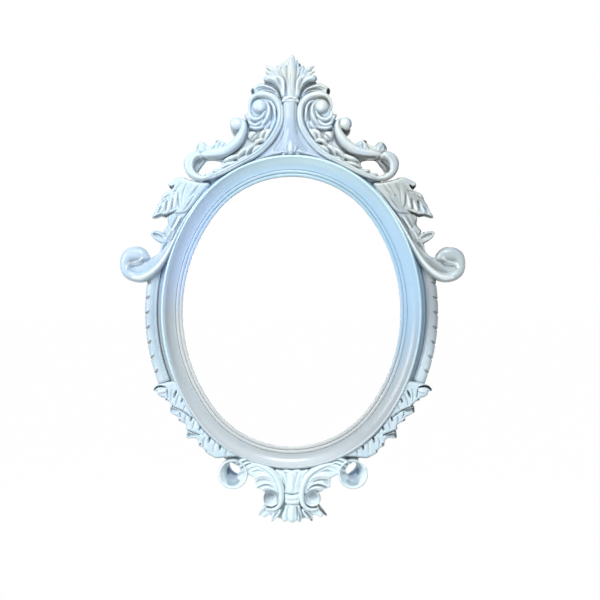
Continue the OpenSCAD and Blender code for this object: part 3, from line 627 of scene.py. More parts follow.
# Mouldings that follow the oval of four arcs
oval = {
    "halfWide": 192.5, "halfTall": 238.5,             # millimetres, at the sight edge
    "joinSine": 3 / 5,                                # how steep the edge faces where the arcs meet
    "beadWide": 6.3, "beadHigh": 7.0,
    "beadWall": 0.70, "beadTurn": 0.8, "beadDip": 0.66,     # edge and dip are shares of the height
    "beadGap": 0.15, "beadFoot": 0.05, "seam": 0.05,  # millimetres
    "coveWide": 19.5, "lipHigh": 20.0, "lipWide": 4.5,
    "bandStart": 45.6, "bandWide": 21.5, "bandHigh": 11.0,
    "plateGap": 0.3,                                  # millimetres between the lip and the backing plates
    "waver": 0.10,                                    # millimetres that the cast mouldings stray
    "waves": ((1, 5, 1.1), (0.6, 11, 0.4), (0.5, 23, 0)),     # share, turns and start of each
    "measures": 2880,                                 # places at which the way round is measured
    "steps": 720,
}
ovalStep = (oval["halfTall"] - oval["halfWide"]) / 2
sideShift, endShift = 4 * ovalStep, 3 * ovalStep
sideRadius, endRadius = oval["halfWide"] + sideShift, oval["halfTall"] - endShift


def ovalPoint(angle, offset):     # millimetres right and up, for the direction in which the edge faces
    c, s = math.cos(angle), math.sin(angle)
    if abs(s) <= oval["joinSine"]:
        return math.copysign(1, c) * (-sideShift) + (sideRadius + offset) * c, (sideRadius + offset) * s
    return (endRadius + offset) * c, math.copysign(1, s) * endShift + (endRadius + offset) * s


def evenAngles(steps):     # directions at even steps along the arcs
    count = oval["measures"]
    angles = [2 * math.pi * i / count for i in range(count + 1)]
    lengths = [sideRadius if abs(math.sin(a)) <= oval["joinSine"] else endRadius for a in angles[:-1]]
    way = np.concatenate([[0], np.cumsum(lengths)])
    return np.interp(np.arange(steps) / steps, way / way[-1], angles)


def ovalRing(name, profile, node, material):
    steps, count = oval["steps"], len(profile)
    points, faces = [], []
    for i, angle in enumerate(evenAngles(steps)):
        wave = sum(size * math.sin(turns * angle + start) for size, turns, start in oval["waves"])
        stray = oval["waver"] * wave
        for offset, level in profile:
            x, z = ovalPoint(angle, offset)
            high = level + (stray if level > railLevel else 0)     # the foot stays flat on the rail
            points.append((x / 1000, -high / 1000, z / 1000))
        j = (i + 1) % steps
        for n in range(count):
            m = (n + 1) % count
            faces.append((i * count + n, j * count + n, j * count + m, i * count + m))
    shadeSmooth(putPiece(name, meshFrom(name, points, faces), material, node).data)


def beadCurve(start, count=14):
    wide, wall = oval["beadWide"] - 2 * oval["beadGap"], oval["beadWall"]
    curve = []
    for i in range(count + 1):
        turn = math.pi * i / count
        high = oval["beadHigh"] * (wall + (1 - wall) * math.sin(turn) ** oval["beadTurn"])
        curve.append((start + oval["beadGap"] + wide / 2 - wide / 2 * math.cos(turn), railLevel + high))
    return curve


dip = [(oval["beadWide"], railLevel + oval["beadHigh"] * oval["beadDip"])]
coveStart = 2 * oval["beadWide"]
ovalRing("sightBeads",
         [(oval["beadGap"] + oval["beadFoot"], railLevel)] + beadCurve(0) + dip + beadCurve(oval["beadWide"])
         + [(coveStart - oval["beadFoot"], railLevel)], "sight_bead", beadPaint)

# Shares of the cove's width and of the lip's height, then shares of the lip's own width
coveShares = smoothRows([(0, 0.34), (0.1667, 0.35), (0.3333, 0.39), (0.5, 0.46), (0.6667, 0.56),
                         (0.8333, 0.70), (1, 0.88)], 5)
lipShares = smoothRows([(0.02, 0.93), (0.22, 0.995), (0.5, 1.0), (0.8, 0.95), (1.1, 0.82), (1.5, 0.6),
                        (2.0, 0.38), (2.6, 0.2), (2.95, 0.1)], 4)
lipStart = coveStart + oval["coveWide"]
coveFoot, coveWide = coveStart + oval["seam"], oval["coveWide"] - oval["seam"]
coveLine = [(coveFoot + coveWide * s, railLevel + oval["lipHigh"] * h) for s, h in coveShares]
lipLine = [(lipStart + oval["lipWide"] * s, railLevel + oval["lipHigh"] * h) for s, h in lipShares]
ovalRing("coveMoulding", [(coveFoot, railLevel)] + coveLine + lipLine + [(lipLine[-1][0], railLevel)],
         "cove_moulding", mouldingPaint)
print("stage: mouldings")

# Ribbed side bands
band = {
    "cuts": 7, "first": 8.5, "step": 4.35,     # degrees above the middle of the side, and to the next cut
    "top": 13.5, "low": 21.6,                  # degrees from the middle of the side up and down to the ends
    "slant": 30.0, "shift": 2.0,               # degrees, and millimetres by which every cut is moved along
    "reach": 10.0, "runOut": 3.5,              # millimetres: a cut's length, and the part that fades
    "cutWide": 1.3, "cutDeep": 4.2,            # millimetres
    "swell": 0.22, "swellAt": 3.0, "swellWide": 1.8,     # the rib beside a cut: its share, place and width
    "cutGain": 1.6,                            # how soon a cut reaches its depth as the band rises
    "notch": 1.6, "notchShare": 0.75, "notchFrom": 0.93,     # how far the cuts show in the outer edge
    "endHigh": 0.75, "endShare": 0.02,         # share of the height at the ends, and of the length to rise in
    "steps": 300,
}

# The band's section: shares of its width and of its height
bandShares = smoothRows([(0, 0.05), (0, 0.5), (0.04, 0.68), (0.10, 0.74), (0.15, 0.70), (0.22, 0.76),
                         (0.38, 0.92), (0.55, 1.0), (0.72, 0.96), (0.86, 0.80), (0.95, 0.56), (1.0, 0.32),
                         (1, 0.02)], 4)


def cutDepth(angle, radius):     # how deep the slanting cuts go
    edge = sideRadius + oval["bandStart"] + oval["bandWide"]
    inwards = radius - edge + band["reach"]
    deep = band["cutDeep"] * min(1.0, max(0.0, inwards / band["runOut"]))
    cut = 0.0
    for k in range(band["cuts"]):
        along = math.radians(angle - band["first"] + k * band["step"]) * edge
        along += inwards * math.tan(math.radians(band["slant"])) - band["shift"]
        groove = math.exp(-(along / band["cutWide"]) ** 2)
        swell = band["swell"] * math.exp(-((along - band["swellAt"]) / band["swellWide"]) ** 2)
        cut += deep * (groove - swell)
    return cut


def sideBand(side):
    sign = -1 if side == "left" else 1
    steps, count = band["steps"], len(bandShares)
    points, faces = [], []
    for i in range(steps + 1):
        angle = -band["low"] + (band["low"] + band["top"]) * i / steps
        c, s = math.cos(math.radians(angle)), math.sin(math.radians(angle))
        ends = min(1.0, min(i, steps - i) / (steps * band["endShare"])) ** 0.5
        full = oval["bandHigh"] * (band["endHigh"] + (1 - band["endHigh"]) * ends)
        for wide, high in bandShares:
            radius = sideRadius + oval["bandStart"] + oval["bandWide"] * wide
            cut = cutDepth(angle, radius)
            level = railLevel + max(0.0, full * high - cut * min(1.0, high * band["cutGain"]))
            if wide > band["notchFrom"]:
                radius -= band["notchShare"] * min(band["notch"], max(0.0, cut))
            points.append((sign * (radius * c - sideShift) / 1000, -level / 1000, radius * s / 1000))
    for i in range(steps):
        for n in range(count):
            m = (n + 1) % count
            faces.append((i * count + n, (i + 1) * count + n, (i + 1) * count + m, i * count + m))
    last = steps * count
    faces += [tuple(range(count)), tuple(range(last + count - 1, last - 1, -1))]
    if sign < 0:
        faces = [face[::-1] for face in faces]
    name = pieceName("side_band_" + side)
    obj = putPiece(name, meshFrom(name, points, faces), bandPaint, "side_band_" + side)
    shadeSmooth(obj.data)


for side in ("left", "right"):
    sideBand(side)
print("stage: side bands")

# Each ornament: in the middle or a pair, the level in millimetres that it stands on, and its strokes as
# on the right side. A stroke is a tool, its height or depth in millimetres, then rows of pixel column,
# pixel row, half width in pixels and share of the height. Outlines have columns and rows alone.
# A pillow has its bevel before its outline, and a stroke may have its own wall at its end.
scrollRise = 17
leafRise = 15

crest = {
    "crest_palmette": ("middle", plateLevel, [
        ("pillow", 12, 3.0, [(285.6, 97), (285.8, 87), (284.6, 80), (280.4, 75.8), (276.4, 70.8),
                             (276.2, 67), (278.6, 66), (281.0, 67), (281.0, 63.8), (284.4, 61.4),
                             (287.2, 61.6), (287.6, 58.6), (290.0, 57.6), (291.0, 56.2), (293.2, 56.2),
                             (294.2, 57.6), (297.0, 58.8), (297.8, 62), (300.2, 62.8), (300.6, 66),
                             (302.8, 65.6), (304.4, 67.4), (303.4, 71), (299.6, 75.8), (296.6, 80),
                             (295.6, 87), (295.8, 97)]),
        ("ridge", 3.6, [(291.4, 97, 3.2, 0.6), (291.2, 85, 3.8, 0.9), (291.6, 73, 4.6, 1),
                        (292.0, 63, 3.6, 0.8), (292.2, 58, 2.0, 0.4)]),
        ("groove", 2.4, [(288.4, 85, 0.8, 0.5), (287.2, 77, 1.0, 1), (286.6, 69, 1.0, 0.9),
                         (287.2, 63, 0.8, 0.6)]),
        ("groove", 2.4, [(294.8, 85, 0.8, 0.5), (296.0, 77, 1.0, 1), (296.6, 69, 1.0, 0.9),
                         (296.6, 63, 0.8, 0.6)]),
        ("groove", 2.8, [(285.6, 80.4, 0.8, 0.5), (282.6, 75, 1.0, 1), (280.8, 70, 0.9, 0.8),
                         (281, 67, 0.7, 0.6)]),
        ("groove", 2.8, [(297, 80.4, 0.8, 0.5), (299.4, 75, 1.0, 1), (300.4, 70, 0.9, 0.8),
                         (300.6, 67, 0.7, 0.6)]),
        ("groove", 1.2, [(291.0, 92, 0.7, 0.6), (290.6, 82, 0.8, 1), (291.0, 72, 0.8, 1),
                         (291.8, 64, 0.7, 0.6)]),
        ("round", leafRise, [(292.2, 63, 3.0, 1.0), (292.2, 59.0, 2.4, 1.06), (292.2, 56.7, 1.6, 1.06)],
         0.8),
        ("round", leafRise, [(295.0, 64, 2.4, 0.9), (296.0, 60.4, 1.8, 0.9)], 0.7),
        ("round", leafRise, [(288.6, 64, 2.4, 0.9), (288.2, 60.4, 1.8, 0.9)], 0.7),
        ("groove", 5.5, [(299.4, 62.8, 0.9, 0.8), (299.8, 65.6, 1.0, 1)]),
        ("groove", 4.0, [(302.6, 66.6, 0.8, 0.8), (302.0, 70, 1.2, 1), (300.6, 73.4, 1.0, 0.7)]),
        ("groove", 3.0, [(278.4, 67.6, 0.7, 0.8), (279.2, 70.4, 1.0, 1), (281, 73.6, 0.9, 0.7)]),
    ]),
    "crest_collar": ("middle", plateLevel, [
        ("round", scrollRise, [(282.8, 100.4, 1.5, 0.8), (285.6, 98.6, 2.4, 1.0),
                               (288.0, 98.4, 1.9, 0.98)]),
        ("round", scrollRise, [(288.6, 97.4, 2.3, 1.06), (292.0, 97.4, 2.3, 1.06)]),
        ("round", scrollRise, [(293.0, 98.4, 1.9, 0.98), (295.2, 98.8, 2.4, 1.0),
                               (297.8, 100.4, 1.5, 0.8)]),
        ("rim", scrollRise, [(282.6, 101.4, 1.2, 0.84), (290.2, 100.8, 1.5, 0.94),
                             (297.8, 101.4, 1.2, 0.84)]),
    ]),
    "crest_neck": ("middle", plateLevel, [
        ("spans", "round", scrollRise, [ (101, 282.4, 297.8, 0.88), (112, 282.6, 297.4, 0.9),
                                        (120, 282.4, 297.6, 0.9), (126, 281.4, 299.0, 0.88),
                                        (132, 279.2, 301.8, 0.84), (138, 276.0, 305.8, 0.8),
                                        (143, 272.4, 310.0, 0.76), (147, 268.0, 314.4, 0.72),
                                        (151, 262.4, 319.4, 0.68), (155, 256.6, 325, 0.64),
                                        (162, 250, 330, 0.6)]),
        ("groove", 2.6, [(287, 128, 2, 0.3), (284.5, 136, 3, 0.8), (281, 144, 4, 1), (277, 150, 4, 0.8)]),
        ("groove", 2.6, [(294.5, 128, 2, 0.3), (298, 136, 3, 0.8), (302, 144, 4, 1), (306, 150, 4, 0.8)]),
        ("groove", 1.2, [(285.6, 104, 0.8, 1), (285.6, 122, 0.8, 1), (282, 138, 1.0, 1),
                         (274, 150, 1.2, 1)]),
        ("groove", 1.2, [(294.8, 104, 0.8, 1), (295, 122, 0.8, 1), (299, 138, 1.0, 1), (307, 150, 1.2, 1)]),
        ("keep", [(282, 100), (290, 99.5), (298, 100), (298.2, 122), (304.6, 136), (313, 146), (324, 155.4),
                  (330, 160.6), (318, 157.6), (309, 155.4), (300, 153.8), (291.5, 154.6), (283, 153.8),
                  (274, 155.4), (264, 157.8), (252, 161), (258.4, 155.2), (269, 146), (277.6, 136),
                  (282, 122)]),
        ("ridge", 2.8, [(256, 158.8, 1.3, 0.6), (268, 155.0, 1.8, 1), (276, 152.6, 1.8, 1),
                        (283, 151.6, 1.6, 1), (288, 152.6, 1.4, 0.8)]),
        ("ridge", 2.8, [(327, 158.8, 1.3, 0.6), (314, 155.0, 1.8, 1), (305, 152.4, 1.8, 1),
                        (298.4, 151.2, 1.6, 1), (294, 152.4, 1.4, 0.8)]),
    ]),
    "crest_drop": ("middle", plateLevel, [
        ("round", scrollRise, [(290.6, 140.6, 1.3, 0.86), (290.6, 144.6, 3.4, 1.02),
                               (290.6, 149.4, 4.0, 1.12), (290.8, 153, 2.6, 1.02), (291, 155.6, 1.2, 0.8)]),
        ("round", scrollRise, [(286.8, 143.4, 1.3, 0.88), (285.4, 147.6, 2.0, 1.06),
                               (286.6, 152, 1.5, 0.96)]),
        ("round", scrollRise, [(294.6, 143.2, 1.4, 0.88), (295.8, 147.2, 2.0, 1.1),
                               (294.6, 151.8, 1.5, 0.96)]),
        ("round", scrollRise, [(284.0, 153.2, 1.6, 0.76), (283.6, 154, 1.6, 0.74)]),
        ("round", scrollRise, [(297.4, 152.8, 1.6, 0.76), (297.8, 153.6, 1.6, 0.74)]),
    ]),
    "crest_leaf": ("pair", plateLevel, [
        ("round", 11, [(300, 77, 2.4, 0.9), (304.4, 72.2, 2.5, 1.0), (308.8, 68.8, 2.1, 1.0),
                       (313.4, 66.0, 1.4, 0.8)], 0.6),
        ("round", 11, [(300.6, 73, 1.8, 0.9), (302.6, 69, 1.8, 1.0), (303.0, 65.4, 1.4, 0.8)], 0.6),
        ("round", 11, [(306.4, 75, 1.6, 0.9), (310.4, 72.8, 1.5, 1.0), (314.2, 70.8, 1.1, 0.8)], 0.6),
        ("pillow", 14.5, 2.6, [(295.2, 98), (295.4, 88), (296, 80.8), (299, 76.6), (303.4, 75.0),
                               (309, 75.4), (313.6, 74.4), (316.4, 76.0), (317, 79.4), (314, 81),
                               (308.6, 82.2), (304.2, 85), (300.8, 89.4), (299.0, 96)]),
        ("ridge", 2.4, [(296.8, 95, 1.0, 0.7), (296.8, 86, 1.2, 1), (297.6, 80.4, 1.3, 1),
                        (300.6, 77.4, 1.3, 1), (304, 76.8, 1.1, 0.8)]),
        ("groove", 4.0, [(299.2, 89.6, 0.8, 0.6), (300.2, 84.8, 1.6, 1), (301.8, 81.2, 1.4, 0.9),
                         (303, 79.2, 0.9, 0.5)]),
        ("ridge", 2.2, [(303.4, 83, 1.0, 0.6), (306.8, 79.8, 1.8, 1), (312, 77.8, 1.7, 0.9)]),
        ("groove", 3.0, [(314.6, 76.2, 0.8, 0.6), (315.8, 78.6, 1.0, 1)]),
    ]),
    "crest_side_leaf": ("pair", plateLevel, [
        ("pillow", 10.5, 2.6, [(301.4, 96), (303.6, 90.8), (308, 87.0), (314, 84.4), (319.4, 82.6),
                               (322.8, 83.4), (326.6, 85.8), (329.6, 87.8), (330.4, 91), (328.8, 94.2),
                               (325.6, 93.6), (320, 91), (313, 90.6), (307.4, 92.4), (303.6, 96.4)]),
        ("ridge", 3.4, [(302.4, 94, 1.0, 0.7), (306.4, 89.6, 1.4, 1), (312, 86.8, 1.5, 1),
                        (319, 85.4, 1.6, 1), (324.2, 87.0, 1.3, 0.8), (326.4, 88.8, 0.9, 0.4)]),
        ("groove", 3.0, [(305, 92.4, 0.8, 0.7), (310, 89.4, 1.0, 1), (316.6, 88.6, 1.0, 1),
                         (322.6, 90.0, 0.9, 0.8)]),
        ("groove", 9.5, [(328.6, 89.0, 1.3, 0.7), (328.4, 91.2, 1.9, 1), (327.6, 93.0, 1.6, 1)]),
    ]),
    "crest_scroll": ("pair", plateLevel, [
        ("round", scrollRise, [(331.2, 112, 1.0, 0.66), (331.4, 105, 1.5, 0.84), (329.8, 99.6, 2.1, 0.95),
                               (325.2, 95.4, 2.9, 1), (318.6, 94.2, 3.4, 1), (311.4, 95.6, 3.6, 1),
                               (305.6, 99.0, 3.6, 1), (302.2, 103.6, 3.5, 1), (300.6, 109, 3.4, 1),
                               (300.2, 115, 3.4, 1), (300.9, 121, 3.4, 1), (302.6, 127, 3.3, 1),
                               (305.6, 133, 3.2, 1), (310, 139.6, 3.1, 1), (315.4, 145.6, 3.0, 1),
                               (321.6, 151.2, 2.9, 1), (329, 156.2, 2.8, 1), (337.6, 160.6, 2.7, 1),
                               (349, 166.4, 2.6, 1), (360, 171.8, 2.6, 1), (369, 175.6, 2.5, 1),
                               (379, 178.2, 2.3, 0.98)]),
        ("groove", 1.8, [(325, 93.8, 0.7, 0.6), (318, 92.2, 0.9, 1), (310, 93.4, 0.9, 1),
                         (303.4, 98.0, 0.9, 1), (299.8, 105, 0.9, 1), (299.2, 114, 0.9, 1),
                         (300.4, 123, 0.9, 1), (305, 133, 0.9, 1), (313, 144, 0.9, 1), (322, 152.4, 0.9, 1),
                         (336, 160.6, 0.8, 1), (350, 167.6, 0.8, 1), (364, 174.4, 0.8, 1),
                         (376, 178.2, 0.8, 0.8)]),
    ]),
    "crest_cabochon": ("pair", plateLevel, [
        ("dome", 18.2, (321.8, 106.0), 7.2),
    ]),
    "crest_acanthus": ("pair", plateLevel, [
        ("fill", 9, [(305, 104), (308.6, 100.4), (313, 97.6), (322, 97.6), (328, 100.6), (330.2, 106),
                     (330.6, 111), (334, 118), (331, 126), (322, 129), (313, 127), (307, 127), (304.6, 120),
                     (304.2, 112)]),
        ("round", leafRise, [(314, 99.8, 1.1, 0.72), (309.8, 102.0, 1.4, 0.88), (306.9, 106.6, 1.5, 0.96),
                             (305.9, 113.4, 1.5, 1.0), (305.5, 120.4, 1.3, 0.84),
                             (305.9, 123.4, 0.9, 0.6)]),
        ("groove", 4.5, [(311.4, 103.4, 0.7, 0.6), (309.2, 108, 1.0, 1), (308.6, 114, 1.1, 1),
                         (309.6, 120, 1.2, 1), (312, 124.6, 1.0, 0.7)]),
        ("round", leafRise, [(314.8, 102.2, 1.1, 0.72), (312.2, 106.6, 1.6, 0.94), (311.9, 112, 1.9, 1.04),
                             (313.4, 117.4, 2.1, 1.1), (316.2, 122, 1.9, 1.0), (319.4, 126.0, 1.2, 0.74)]),
        ("groove", 4, [(315.6, 110, 0.8, 0.6), (317, 115.4, 1.1, 1), (320, 120.6, 1.1, 1),
                       (324.4, 123.8, 0.9, 0.7)]),
        ("round", leafRise, [(316.2, 111.4, 1.2, 0.8), (318.2, 115.6, 1.8, 1.0), (321.8, 118.6, 2.2, 1.08),
                             (326.4, 119.2, 2.4, 1.1), (330.2, 117.0, 2.4, 1.1), (331.8, 113.6, 2.1, 1.0),
                             (331.2, 110.6, 1.2, 0.8)]),
        ("round", leafRise, [(318.4, 119.4, 1.3, 0.74), (321.4, 123, 2.0, 0.92), (325.6, 124.8, 2.1, 0.96),
                             (330, 123.4, 2.1, 0.96), (332.6, 120.4, 1.6, 0.84)]),
        ("round", leafRise, [(332, 119.4, 2.1, 0.95), (334.4, 116.4, 2.2, 0.96), (335.9, 114.6, 1.6, 0.6),
                             (336.2, 114.2, 1.2, 0.3)]),
        ("round", leafRise, [(316.6, 125.2, 1.3, 0.7), (320.6, 127.4, 1.8, 0.84), (326, 128, 1.9, 0.86),
                             (331, 126.4, 1.6, 0.8)]),
        ("round", leafRise, [(306.8, 120.6, 1.4, 0.7), (307.8, 125.4, 1.9, 0.8),
                             (309.8, 129.8, 1.4, 0.66)]),
        ("round", leafRise, [(310.6, 121.6, 1.3, 0.72), (312.8, 125.6, 1.6, 0.8),
                             (315.6, 128.6, 1.2, 0.66)]),
        ("groove", 2.6, [(319.6, 113.2, 0.7, 0.6), (323, 116.4, 0.8, 1), (327, 116.6, 0.8, 0.8)]),
    ]),
    "crest_chain": ("pair", plateLevel, [
        ("fill", 5, [(306.4, 126), (314, 127), (322, 130), (333, 131), (334, 139), (340, 147), (350, 154),
                     (357.6, 158.8), (360.8, 162.6), (360, 167.6), (352, 165.8), (344, 162.4), (332, 156.6),
                     (321, 149.8), (313, 142), (308, 133)]),
        ("fill", 5, [(352, 166), (362, 167.8), (370, 171), (377, 174.4), (382, 175.4), (382, 178.4),
                     (370, 176), (357, 170.4)]),
        ("round", leafRise, [(309.2, 128.4, 1.7, 0.66), (312.2, 132, 2.3, 0.86), (314.6, 136.6, 2.0, 0.8),
                             (315.6, 140, 1.2, 0.6)]),
        ("round", leafRise, [(313.4, 129.6, 1.9, 0.7), (318, 132.2, 2.3, 0.9), (319.8, 136.4, 1.8, 0.8),
                             (320, 139.4, 1.1, 0.6)]),
        ("round", leafRise, [(316.4, 140.6, 1.6, 0.66), (319.8, 139.6, 2.1, 0.9), (324.2, 141.6, 2.1, 0.94),
                             (326.6, 144.4, 1.3, 0.7)]),
        ("round", leafRise, [(317.6, 144.6, 1.6, 0.6), (322.4, 146.4, 2.1, 0.8), (326.6, 149.6, 1.9, 0.78),
                             (328.6, 153, 1.1, 0.55)]),
        ("round", leafRise, [(327.2, 144.8, 1.6, 0.66), (331.4, 147, 2.2, 0.88), (334.4, 151.2, 1.8, 0.8),
                             (335.4, 154.4, 1.1, 0.6)]),
        ("round", leafRise, [(332.6, 147.2, 1.7, 0.7), (338.2, 150.2, 2.4, 0.94), (342.4, 154.2, 2.1, 0.88),
                             (344.4, 157.8, 1.1, 0.6)]),
        ("round", leafRise, [(333.6, 156.6, 1.5, 0.55), (338.2, 158.0, 2.0, 0.72),
                             (342.6, 160.4, 1.6, 0.66)]),
        ("round", leafRise, [(342.6, 154.6, 1.7, 0.7), (348.0, 156.4, 2.3, 0.9), (353.6, 158.6, 2.3, 0.92),
                             (357.8, 160.4, 1.3, 0.66)]),
        ("round", leafRise, [(345.6, 161.6, 1.6, 0.58), (350.8, 162.8, 2.1, 0.72),
                             (355.8, 164.4, 2.1, 0.74), (359.6, 166.2, 1.2, 0.55)]),
        ("round", leafRise, [(362.8, 169.6, 1.5, 0.5), (366.2, 170.4, 1.9, 0.66),
                             (369.2, 169.8, 1.2, 0.55)]),
        ("round", leafRise, [(370.6, 173.4, 1.4, 0.5), (374.2, 174.0, 1.7, 0.62),
                             (377.4, 173.8, 1.1, 0.5)]),
        ("dome", 14.5, (328.6, 135.4), 4.9),
        ("groove", 3.6, [(323.8, 133.8, 0.8, 0.8), (326.8, 135.8, 1.0, 1), (329.8, 139, 0.9, 0.8)]),
        ("ridge", 1.5, [(325.6, 132, 0.8, 0.8), (329.8, 133, 1.0, 1), (332.2, 136.8, 0.9, 0.8)]),
        ("groove", 3.5, [(320.4, 143, 1.0, 1), (321.8, 143.8, 1.0, 1)]),
        ("groove", 3.5, [(330.0, 152, 1.1, 1), (331.4, 154.2, 1.1, 1)]),
        ("groove", 3.5, [(345.4, 159.2, 1.0, 1), (347, 160, 1.0, 1)]),
    ]),
    "crest_branch": ("pair", plateLevel, [
        ("round", 8, [(346.6, 127, 4.6, 0.95), (346.8, 131, 3.4, 0.8), (346.4, 134, 1.7, 0.5)]),
        ("dome", 17.5, (345.4, 123.4), 6.9),
        ("round", scrollRise, [(339.6, 119.0, 1.3, 0.86), (337.4, 122.6, 2.2, 1.0), (337.4, 128, 3.3, 1.06),
                               (340.2, 135, 4.4, 1.08), (344.6, 141.4, 5.0, 1.08),
                               (350.6, 147.0, 5.3, 1.08), (358, 151.2, 5.4, 1.08), (366, 153.2, 5.2, 1.06),
                               (373.6, 154.0, 4.6, 1.02), (378.6, 154.2, 3.3, 0.92),
                               (380.6, 154.4, 2.2, 0.8)]),
    ]),
    "crest_frill": ("pair", plateLevel, [
        ("pillow", 13.5, 3.0, [(346.4, 137.0), (349, 138.4), (351.8, 141.2), (353.8, 144.2), (356.6, 142.8),
                               (360.4, 140.8), (364, 139.6), (366.6, 140.6), (367.6, 143.6), (370.4, 145.0),
                               (373.4, 146.4), (376, 144.4), (379, 142.0), (382.4, 141.8), (385, 144.0),
                               (386.8, 147.6), (386, 151), (378, 153.4), (366, 153), (354, 149.4),
                               (346, 143)]),
        ("groove", 2.8, [(361.4, 141.8, 0.8, 0.6), (362.8, 145, 1.0, 0.9), (363.6, 148.6, 0.8, 0.5)]),
        ("groove", 2.2, [(356.8, 143.8, 0.8, 0.6), (358.6, 146.6, 1.0, 0.9), (360.4, 149, 0.8, 0.5)]),
        ("groove", 3.6, [(367.0, 143.6, 0.8, 0.8), (368.2, 146.8, 1.0, 1), (370.4, 149.6, 0.8, 0.5)]),
        ("ridge", 2.2, [(378.4, 150, 1.4, 0.6), (379.6, 146.6, 2.0, 1), (381.2, 144, 1.6, 0.8)]),
        ("groove", 4.5, [(383.8, 144.2, 0.9, 0.6), (385.2, 147.4, 1.2, 1), (384.8, 150, 1.0, 0.8)]),
        ("groove", 5.5, [(364.6, 141.0, 0.9, 0.8), (366.2, 142.2, 1.1, 1)]),
    ]),
    "crest_hook": ("pair", plateLevel, [
        ("fill", 4, [(378.4, 158), (386, 158.6), (391, 163), (391.4, 169), (388, 174), (384.8, 174.0),
                     (386.2, 170.4), (383.8, 166.6), (379.6, 161.6)]),
        ("round", scrollRise, [(382.4, 155.8, 2.6, 0.94), (385.8, 155.0, 4.0, 1.04),
                               (390.6, 156.8, 5.0, 1.08), (393.8, 161.2, 5.2, 1.1),
                               (394.2, 166.6, 4.8, 1.08), (392.2, 171.6, 4.4, 1.05),
                               (388.6, 175.2, 3.9, 1.02), (383.8, 177.4, 3.2, 1.0),
                               (378.6, 178.2, 2.4, 0.96)]),
        ("ridge", 1.6, [(382.8, 155.4, 1.8, 0.8), (386.4, 156.4, 1.8, 1), (389.6, 160, 1.3, 1),
                        (390.6, 164.6, 1.2, 1), (390, 169, 1.2, 1), (387, 173.6, 1.1, 0.8)]),
    ]),
}

